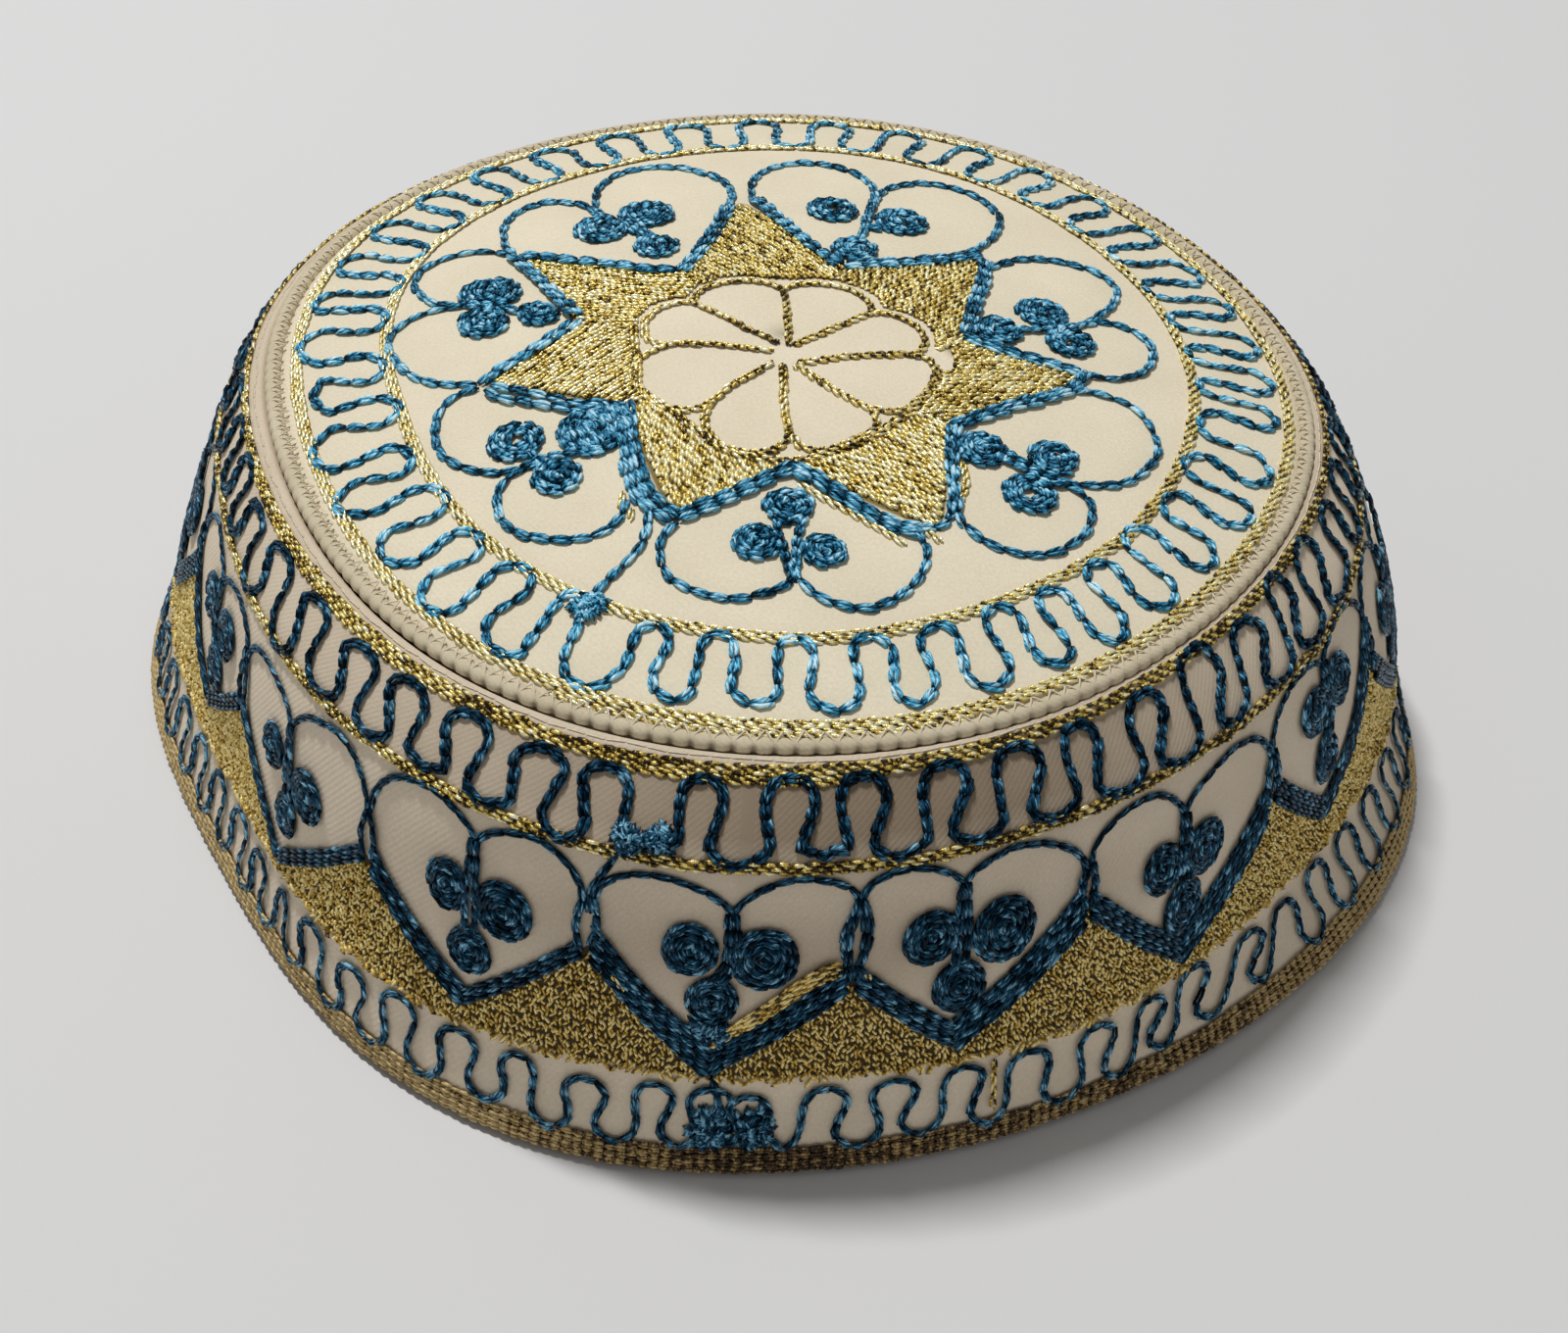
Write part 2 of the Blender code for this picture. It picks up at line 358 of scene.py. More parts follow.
def tangle(chart, knots, long=2.3, thick=0.42):
    """Knots of thread: short stitches heaped over each other every way, as (place, place, radius in mm)."""
    points, lifts = [], []
    for x, y, radius in knots:
        count = int(radius ** 2 * 15)
        turn = rng.uniform(0, math.tau, count)
        away = radius * np.sqrt(rng.uniform(0, 1, count))
        points.append(np.stack([x + away * np.cos(turn) / chart["scale"][0],
                                y + away * np.sin(turn) / chart["scale"][1]], 1))
        lifts.append(0.2 + (1 - (away / radius) ** 2) * 0.8)
    points = np.concatenate(points)
    return field(chart, points, rng.uniform(0, 180, len(points)), long, thick, np.concatenate(lifts)[:, None])


def laid(spine, ahead, part, wide):
    """Single round strands along their spines, level across."""
    up = np.broadcast_to(np.array([0, 0, 1.0]), spine.shape)
    wide = wide * np.ones((len(spine), 1))
    return {"spine": spine, "across": unit(np.cross(up, ahead[:, None])), "up": up, "wide": wide,
            "high": wide, "tone": end_shade(rng.uniform(0, 1, len(spine)), part)}


def threads(name, strands, sides, material):
    """Closed tapering tubes: a point, rings of a few sides, and a point."""
    spine, across, up = strands["spine"], strands["across"], strands["up"]
    count, steps = spine.shape[:2]
    rings = steps - 2
    turn = (np.arange(sides) + 0.5 * (sides % 2)) * math.tau / sides - math.pi / 2
    wide = strands["wide"][:, 1:-1, None, None] * np.cos(turn)[None, None, :, None]
    high = strands["high"][:, 1:-1, None, None] * np.sin(turn)[None, None, :, None]
    body = spine[:, 1:-1, None] + across[:, 1:-1, None] * wide + up[:, 1:-1, None] * high
    verts = np.concatenate([spine[:, :1], body.reshape(count, rings * sides, 3), spine[:, -1:]], 1)
    per = rings * sides + 2
    side = np.arange(sides)
    nxt = (side + 1) % sides
    # faces as their corners, their places round the thread and their rings along it
    faces = [((1 + nxt, 1 + side, 0 * side), (side + 1, side, side + 0.5), (1, 1, 0))]
    for ring in range(1, rings):
        a, b = 1 + (ring - 1) * sides, 1 + ring * sides
        faces.append(((a + side, a + nxt, b + nxt, b + side), (side, side + 1, side + 1, side),
                      (ring, ring, ring + 1, ring + 1)))
    a = 1 + (rings - 1) * sides
    faces.append(((a + side, a + nxt, 0 * side + per - 1), (side, side + 1, side + 0.5),
                  (rings, rings, rings + 1)))
    corner = np.concatenate([np.stack(row, 1).ravel() for row, _, _ in faces])
    round_place = np.concatenate([np.stack(row, 1).ravel() for _, row, _ in faces]) / sides
    long_place = np.concatenate([np.tile(row, sides) for _, _, row in faces])
    sizes = [len(row) for _, _, row in faces for _ in side]
    length = np.concatenate([np.zeros((count, 1)),
                             np.cumsum(np.linalg.norm(np.diff(spine, axis=1), axis=2), 1)], 1)
    corners = (corner[None] + np.arange(count)[:, None] * per).ravel()
    seam = rng.uniform(0, 50, (count, 1))
    uv = np.stack([np.broadcast_to(round_place[None], (count, len(corner))) + seam,
                   length[:, long_place] + seam], -1).reshape(-1, 2)
    tone = strands["tone"]
    marks = {"tone": np.concatenate([tone[:, :1], np.repeat(tone[:, 1:-1], sides, 1), tone[:, -1:]], 1)}
    return make_mesh(name, verts.reshape(-1, 3), corners, np.tile(sizes, count), material, uv, marks)


def quads(rows, around, total):
    """Faces between neighbouring rows of a grid that closes round."""
    row, col = np.meshgrid(np.arange(rows), np.arange(around), indexing="ij")
    below, after = (row + 1) % total * around, (col + 1) % around
    row = row * around
    return np.stack([row + col, row + after, below + after, below + col], -1).reshape(-1, 4)


def shell(name, outer, inner, material, uv, marks):
    """A closed cloth shell from an outer and an inner grid (rows, round). Both ends are joined."""
    tall, around = outer.shape[:2]
    verts = np.concatenate([outer.reshape(-1, 3), inner.reshape(-1, 3)])
    base = tall * around
    last = base - around
    ring = np.arange(around)
    after = (ring + 1) % around
    wall = quads(tall - 1, around, tall)
    corners = np.concatenate([
        wall[:, [0, 3, 2, 1]], wall + base, np.stack([ring, after, after + base, ring + base], 1),
        np.stack([after, ring, ring + base, after + base], 1) + last]).ravel()
    flat = np.tile(uv.reshape(-1, 2), (2, 1))[corners]
    double = {key: np.tile(values.ravel(), 2) for key, values in marks.items()}
    return make_mesh(name, verts, corners, np.full(len(corners) // 4, 4), material, flat, double)


# Finishes.
def linear(code):
    """An sRGB hex colour as linear red, green, blue and alpha."""
    parts = [int(code[i:i + 2], 16) / 255 for i in (1, 3, 5)]
    return tuple(p / 12.92 if p <= 0.04045 else ((p + 0.055) / 1.055) ** 2.4 for p in parts) + (1.0,)


def add(tree, kind, settings=None, stops=(), **sockets):
    """Adds a node with its settings, the stops of its ramp as pairs of place and hex, and its links. A
    socket is named with _ for each space, or input_0, input_1."""
    node = tree.nodes.new("ShaderNode" + kind)
    for name, value in (settings or {}).items():
        setattr(node, name, value)
    if stops:
        ramp = node.color_ramp.elements
        while len(ramp) < len(stops):
            ramp.new(0.5)
        for element, (place, code) in zip(ramp, stops):
            element.position = place
            element.color = linear(code)
    for name, value in sockets.items():
        numbered = name.startswith("input_")
        socket = node.inputs[int(name[6:]) if numbered else name.replace("_", " ")]
        if isinstance(value, bpy.types.NodeSocket):
            tree.links.new(value, socket)
        else:
            socket.default_value = value
    return node


def new_finish(name):
    """An empty material, its node tree and the place on the cloth or thread, in mm."""
    finish = bpy.data.materials.new(name)
    finish.use_nodes = True
    tree = finish.node_tree
    tree.nodes.clear()
    return finish, tree, add(tree, "UVMap", {"uv_map": "thread"}).outputs["UV"]


# The sizes of the patterns on cloth and thread, in mm.
DYE_PATCH = 16.67      # cloudy patches of the dye
TWILL_LINE = 0.7166    # about twice as coarse as the real cloth's lines, so that they show
YARN_SLUB = 0.5        # thick and thin places of the yarn
FILAMENT_RUN = 2.2     # how far a bundle of filaments shows before it winds under
FOIL_FACET = 0.4464    # one turn of the foil round its core


def woven_cotton(name, warm, cool, painted_shade="#75624C", bed_and_gap_shade="#85713C"):
    """Fine cream cotton, close twill: soft and matt, faint diagonal lines, slightly uneven dye. Under the
    filled embroidery it is darkened by the gold thread's bed and by painted shade between the stitches, and
    it is painted brown where it has painted shade."""
    finish, tree, where = new_finish(name)
    shade = add(tree, "TexNoise", Vector=where, Scale=1 / DYE_PATCH, Detail=4.0, Roughness=0.6)
    base = add(tree, "ValToRGB", stops=((0.30, cool), (0.70, warm)), Fac=shade.outputs["Fac"])
    # at scale 1 these diagonal bands lie tau / 10 apart along an axis
    twill = add(tree, "TexWave", {"bands_direction": "DIAGONAL"}, Vector=where,
                Scale=math.tau / 10 / math.sqrt(2) / TWILL_LINE, Distortion=0.6, Detail=1.0,
                Detail_Scale=2.0)
    slub = add(tree, "TexNoise", Vector=where, Scale=1 / YARN_SLUB, Detail=6.0, Roughness=0.8)
    height = add(tree, "Math", {"operation": "MULTIPLY_ADD"}, input_0=slub.outputs["Fac"],
                 input_1=2.4, input_2=twill.outputs["Fac"])
    # painted shade: the cloth is mixed towards a dark brown where its mark of painted shade is set
    shade_mask = add(tree, "Attribute", {"attribute_name": "painted_shade"})
    shade_mixed = add(tree, "Mix", {"data_type": "RGBA"}, input_0=shade_mask.outputs["Fac"],
               input_6=base.outputs["Color"], input_7=linear(painted_shade))
    # the gold bed under filled fields, with painted shade in the gaps between their stitches
    bed = add(tree, "Attribute", {"attribute_name": "bed"})
    under = add(tree, "MapRange", Value=bed.outputs["Fac"], From_Min=0.2, From_Max=0.6)
    bed_shaded = add(tree, "Mix", {"data_type": "RGBA"}, input_0=under.outputs[0],
                  input_6=shade_mixed.outputs[2], input_7=linear(bed_and_gap_shade))
    darker = add(tree, "MapRange", Value=slub.outputs["Fac"], From_Min=0.35, From_Max=0.62,
                 To_Min=0.89, To_Max=1.05)
    colour = add(tree, "VectorMath", {"operation": "SCALE"}, input_0=bed_shaded.outputs[2],
                 Scale=darker.outputs[0])
    bump = add(tree, "Bump", Height=height.outputs[0], Strength=0.3, Distance=0.09 * MM)
    cotton = add(tree, "BsdfPrincipled", Base_Color=colour.outputs[0], Normal=bump.outputs[0],
                 Roughness=0.85, IOR=1.5, Sheen_Weight=0.2, Sheen_Roughness=0.4, Sheen_Tint=linear(warm))
    add(tree, "OutputMaterial", Surface=cotton.outputs[0])
    return finish


def silk_thread(name, dark, mid, light, glint, shine):
    """Twisted rayon embroidery thread: fine filaments that wind along each strand, with a silky shine that is
    partly its own specular and partly painted glints in its colour.
    """
    finish, tree, where = new_finish(name)
    tone = add(tree, "Attribute", {"attribute_name": "tone"})
    twist = add(tree, "Mapping", {"vector_type": "TEXTURE"}, Vector=where,
                Rotation=(0, 0, 0.22), Scale=(0.2, FILAMENT_RUN, 1.0))
    ply = add(tree, "TexNoise", Vector=twist.outputs[0], Scale=1.0, Detail=3.0, Roughness=0.65)
    mixed = add(tree, "Math", {"operation": "MULTIPLY_ADD"}, input_0=tone.outputs["Fac"],
                input_1=0.34, input_2=ply.outputs["Fac"])
    # the light and glint stops are painted highlights along the filaments
    colour = add(tree, "ValToRGB", stops=((0.52, dark), (0.61, mid), (0.72, light), (0.82, glint)),
                 Fac=mixed.outputs[0])
    bump = add(tree, "Bump", Height=ply.outputs["Fac"], Strength=0.9, Distance=0.18 * MM)
    thread = add(tree, "BsdfPrincipled", Base_Color=colour.outputs["Color"], Normal=bump.outputs[0],
                 Roughness=0.3, IOR=1.55, Specular_IOR_Level=shine, Specular_Tint=linear(light))
    add(tree, "OutputMaterial", Surface=thread.outputs[0])
    return finish


def metal_thread(name, dark, mid, light, glint, rough, metal):
    """Gilt metallic thread: flat foil wound on a core. Its hard bright facets are partly painted glints in
    its colour, and its brown hollows are painted shade.
    """
    finish, tree, where = new_finish(name)
    tone = add(tree, "Attribute", {"attribute_name": "tone"})
    wound = add(tree, "Mapping", {"vector_type": "TEXTURE"}, Vector=where,
                Scale=(0.5952, FOIL_FACET, 1.0))
    foil = add(tree, "TexNoise", Vector=wound.outputs[0], Scale=1.0, Detail=2.0)
    mixed = add(tree, "Math", {"operation": "MULTIPLY_ADD"}, input_0=tone.outputs["Fac"],
                input_1=0.55, input_2=foil.outputs["Fac"])
    # the light and glint stops are painted highlights, the dark stop painted shade in the hollows
    colour = add(tree, "ValToRGB", stops=((0.46, dark), (0.58, mid), (0.72, light), (0.88, glint)),
                 Fac=mixed.outputs[0])
    bump = add(tree, "Bump", Height=foil.outputs["Fac"], Strength=0.7, Distance=0.3 * MM)
    gilt = add(tree, "BsdfPrincipled", Base_Color=colour.outputs["Color"], Normal=bump.outputs[0],
               Metallic=metal, Roughness=rough)
    add(tree, "OutputMaterial", Surface=gilt.outputs[0])
    return finish


crown_cotton = woven_cotton("cream_twill_cotton_crown", "#E8DDC4", "#DFD4B9")
# on the side the bed is near black: painted shade between the triangles' stitches
side_cotton = woven_cotton("cream_twill_cotton_side", "#E6D7C0", "#DBCBB2", bed_and_gap_shade="#36280C")
# the piping's painted shade in its needle holes is this dark brown
piping_cotton = woven_cotton("cream_cotton_piping", "#D3C7AC", "#C2B597", painted_shade="#43351F")
cream_thread = woven_cotton("cream_cotton_thread", "#E6DCC6", "#D6CAB0")
teal_silk = silk_thread("teal_rayon_thread", "#000F18", "#06537C", "#62C2E6", "#DDF8FF", 0.55)
# a copy of the teal thread with fewer painted glints, for the crown's hearts, which catch less of the lamp's
# shine
less_glint_heart_silk = silk_thread("teal_rayon_thread_crown_hearts_less_glint", "#00141F", "#0C587E", "#64B8DA", "#CDEFFA", 0.5)
# a darker copy of the teal thread: painted shade of the side, which faces away from the lamp
shaded_side_silk = silk_thread("teal_rayon_thread_side_shaded", "#01070C", "#0B2B40", "#295A76", "#8AC2DC", 0.45)
gilt_thread = metal_thread("gilt_metallic_thread", "#302202", "#C6A440", "#F5DE82", "#FFFAD2", 0.28, 0.4)
# a darker copy of the gilt thread: painted shade of the side
shade_gilt = metal_thread("gilt_metallic_thread_side_shaded", "#241600", "#A07E28", "#DAB650", "#FCE8A0", 0.36, 0.25)
# a darker, browner copy of the gilt thread: painted shade of the low rim
shaded_rim_gilt = metal_thread("gilt_metallic_thread_rim_shaded", "#33230F", "#6E542E", "#AE9460", "#C8B17E", 0.55, 0.2)

# Charts of the embroidery.
# Loops of the crown's teal meander: angle and radius of the peak, the angle of the left leg, of the right
# leg high and low, and the angle and radius of the valley after it.
CROWN_LOOPS = (
    (-97.5, 59.0, -100.5, -94.8, -96.0, -92.5, 71.8),
    (-85.2, 59.2, -88.7, -82.3, -84.8, -81.5, 70.2),
    (-74.3, 58.5, -77.9, -71.5, -74.2, -69.5, 72.3),
    (-62.6, 59.7, -65.9, -59.8, -62.2, -59.3, 72.3),
    (-51.5, 58.8, -55.6, -49.1, -51.4, -48.2, 71.3),
    (-42.0, 59.4, -44.7, -39.3, -41.6, -38.3, 72.0),
    (-32.3, 59.3, -35.4, -30.0, -31.5, -28.0, 72.0),
    (-23.2, 59.2, -25.7, -21.9, -21.4, -18.3, 71.9),
    (-13.0, 60.2, -14.9, -11.1, -11.5, -9.1, 70.7),
    (-5.3, 59.8, -7.2, -3.2, -3.2, -0.5, 70.0),
    (3.4, 59.8, 1.6, 5.6, 4.9, 7.6, 70.8),
    (12.3, 59.8, 10.2, 14.8, 13.8, 15.8, 70.9),
    (20.8, 59.8, 18.3, 22.8, 21.8, 24.5, 70.8),
    (29.3, 59.5, 26.9, 31.2, 30.2, 32.7, 70.7),
    (36.3, 60.2, 34.6, 38.8, 38.1, 40.2, 71.3),
    (44.8, 60.2, 42.9, 47.5, 46.3, 49.0, 71.2),
    (54.0, 59.5, 51.7, 56.9, 55.7, 58.0, 71.0),
    (64.0, 60.2, 61.0, 66.4, 65.0, 68.0, 71.2),
    (73.0, 59.5, 70.5, 76.0, 74.0, 76.8, 71.0),
    (83.0, 59.5, 80.3, 86.3, 85.9, 88.0, 70.5),
    (91.9, 59.0, 90.2, 93.7, 93.3, 95.5, 70.6),
    (100.0, 58.6, 97.8, 101.9, 100.9, 103.5, 70.6),
    (108.3, 58.6, 106.0, 110.4, 110.0, 112.3, 70.7),
    (117.0, 58.6, 114.3, 119.0, 118.0, 120.5, 70.7),
)
CROWN_LOOPS_BEHIND = 15

# Loops of the side's upper meander: peak and its share, left leg high and low, right leg high and low,
# valley and its share.
UPPER_LOOPS = (
    (-66.8, 0.062, -69.0, -68.5, -64.3, -64.5, -62.0, 0.258),
    (-58.0, 0.044, -61.0, -59.0, -55.4, -54.8, -52.2, 0.258),
    (-49.0, 0.044, -51.8, -49.8, -46.9, -46.6, -43.9, 0.238),
    (-41.0, 0.044, -43.2, -41.2, -38.3, -38.4, -36.2, 0.228),
    (-34.0, 0.039, -36.0, -34.0, -31.4, -31.4, -29.3, 0.212),
    (-26.5, 0.034, -28.8, -27.2, -24.2, -24.8, -22.8, 0.223),
    (-18.8, 0.044, -21.2, -20.6, -16.6, -17.5, -15.6, 0.238),
    (-12.9, 0.044, -14.9, -13.8, -10.8, -10.5, -8.3, 0.205),
    (-4.5, 0.034, -6.3, -6.1, -2.7, -3.4, -1.3, 0.233),
    (3.1, 0.024, 0.8, 1.2, 5.1, 3.9, 5.7, 0.205),
    (9.2, 0.024, 7.2, 7.6, 11.2, 9.8, 11.8, 0.228),
    (16.8, 0.024, 14.4, 14.2, 18.5, 16.4, 18.7, 0.223),
    (23.7, 0.024, 21.3, 21.0, 25.8, 23.8, 26.1, 0.228),
    (30.4, 0.024, 28.4, 28.4, 32.0, 30.6, 33.3, 0.233),
    (38.8, 0.024, 35.8, 35.7, 40.2, 37.6, 40.3, 0.233),
    (46.7, -0.006, 43.4, 42.8, 48.7, 45.6, 47.5, 0.223),
    (54.0, 0.024, 51.5, 49.8, 56.5, 53.2, 56.0, 0.233),
    (61.8, -0.006, 59.8, 58.4, 63.3, 60.3, 62.8, 0.228),
    (69.5, 0.004, 66.0, 65.5, 71.0, 68.0, 71.0, 0.233),
)
UPPER_LOOPS_BEHIND = 29

# The lower meander in turn: valley, half width and share, then peak, half width and share.
LOWER_LOOPS = (
    (-54.6, 1.7, 0.95, -52.0, 1.7, 0.83),
    (-49.2, 1.6, 0.95, -46.6, 1.0, 0.83),
    (-43.7, 1.7, 0.95, -41.0, 1.8, 0.815),
    (-37.6, 1.7, 0.95, -35.0, 1.8, 0.825),
    (-32.2, 1.7, 0.95, -29.4, 1.8, 0.805),
    (-26.4, 1.7, 0.945, -23.4, 1.7, 0.81),
    (-20.5, 1.6, 0.935, -18.0, 1.4, 0.815),
    (-14.9, 1.5, 0.945, -12.3, 1.7, 0.83),
    (-9.7, 1.6, 0.945, -6.8, 1.5, 0.815),
    (-4.7, 1.4, 0.94, -2.3, 1.7, 0.815),
    (-0.9, 1.2, 0.93, 0.7, 1.6, 0.83),
    (3.5, 1.1, 0.94, 6.8, 1.7, 0.815),
    (9.3, 1.8, 0.945, 12.3, 1.8, 0.81),
    (14.5, 1.6, 0.94, 18.1, 1.7, 0.805),
    (20.2, 1.5, 0.95, 23.9, 1.8, 0.81),
    (27.0, 1.8, 0.95, 30.5, 1.8, 0.81),
    (32.5, 1.5, 0.945, 36.3, 1.6, 0.81),
    (37.3, 1.5, 0.93, 41.5, 1.8, 0.80),
    (43.2, 2.0, 0.925, 49.0, 2.2, 0.825),
    (49.8, 1.6, 0.93, 54.6, 1.8, 0.83),
)
LOWER_LOOPS_BEHIND = 43

# The side's hearts. Places are (degrees, share of the band). A blob is its place and its two half sizes.
HEART_PARTS = ("left", "left_top", "cleft", "right_top", "right", "left_fork", "right_fork", "tip",
               "left_blob", "right_blob", "low_blob", "left_rows", "right_rows")
SIDE_HEARTS = (
    ((-79.5, 0.42), (-75, 0.30), (-68.5, 0.36), (-63.5, 0.305), (-58.8, 0.38), (-79, 0.46), (-58.3, 0.50),
     (-69, 0.69), (-71, 0.43, 2.0, 0.05), (-64.5, 0.43, 2.0, 0.055), (-67, 0.57, 2.0, 0.07), 2, 2),
    ((-58.3, 0.40), (-53.2, 0.322), (-46.8, 0.385), (-40, 0.285), (-34.6, 0.41), (-57.6, 0.50), (-34.7, 0.50),
     (-48.3, 0.76), (-49.9, 0.475, 1.8, 0.05), (-43.3, 0.50, 2.3, 0.058), (-46.8, 0.62, 1.9, 0.065), 2, 2),
    ((-34.3, 0.40), (-28, 0.255), (-23, 0.33), (-18, 0.262), (-13.2, 0.38), (-33.7, 0.50), (-13.2, 0.48),
     (-23.2, 0.72), (-25.3, 0.45, 1.9, 0.055), (-19.9, 0.455, 2.4, 0.063), (-22.8, 0.595, 2.2, 0.065), 3, 2),
    ((-12.3, 0.37), (-7, 0.28), (-1.3, 0.36), (4, 0.265), (8.6, 0.33), (-12.3, 0.46), (8, 0.505),
     (-2.7, 0.745), (-4.5, 0.44, 2.0, 0.058), (1.3, 0.455, 2.5, 0.068), (-2.6, 0.575, 2.2, 0.07), 4, 3),
    ((8.9, 0.33), (13, 0.262), (17.3, 0.33), (21.7, 0.271), (28.8, 0.39), (8.5, 0.505), (28.7, 0.465),
     (17, 0.712), (14.6, 0.435, 2.2, 0.06), (21, 0.455, 2.5, 0.072), (17.2, 0.58, 2.4, 0.075), 3, 4),
    ((29.3, 0.38), (35.7, 0.278), (39.7, 0.37), (46.7, 0.287), (52.2, 0.39), (29.3, 0.465), (51.3, 0.485),
     (39.8, 0.728), (37, 0.465, 2.0, 0.055), (42.1, 0.47, 2.3, 0.062), (39.6, 0.605, 2.4, 0.085), 3, 4),
    ((52.5, 0.38), (59, 0.263), (62.6, 0.30), (68, 0.25), (74, 0.36), (52.5, 0.465), (73, 0.40),
     (62.2, 0.685), (60, 0.38, 2.4, 0.05), (65, 0.37, 2.3, 0.055), (61.7, 0.53, 2.0, 0.075), 3, 3),
)
SIDE_HEARTS_BEHIND = 10

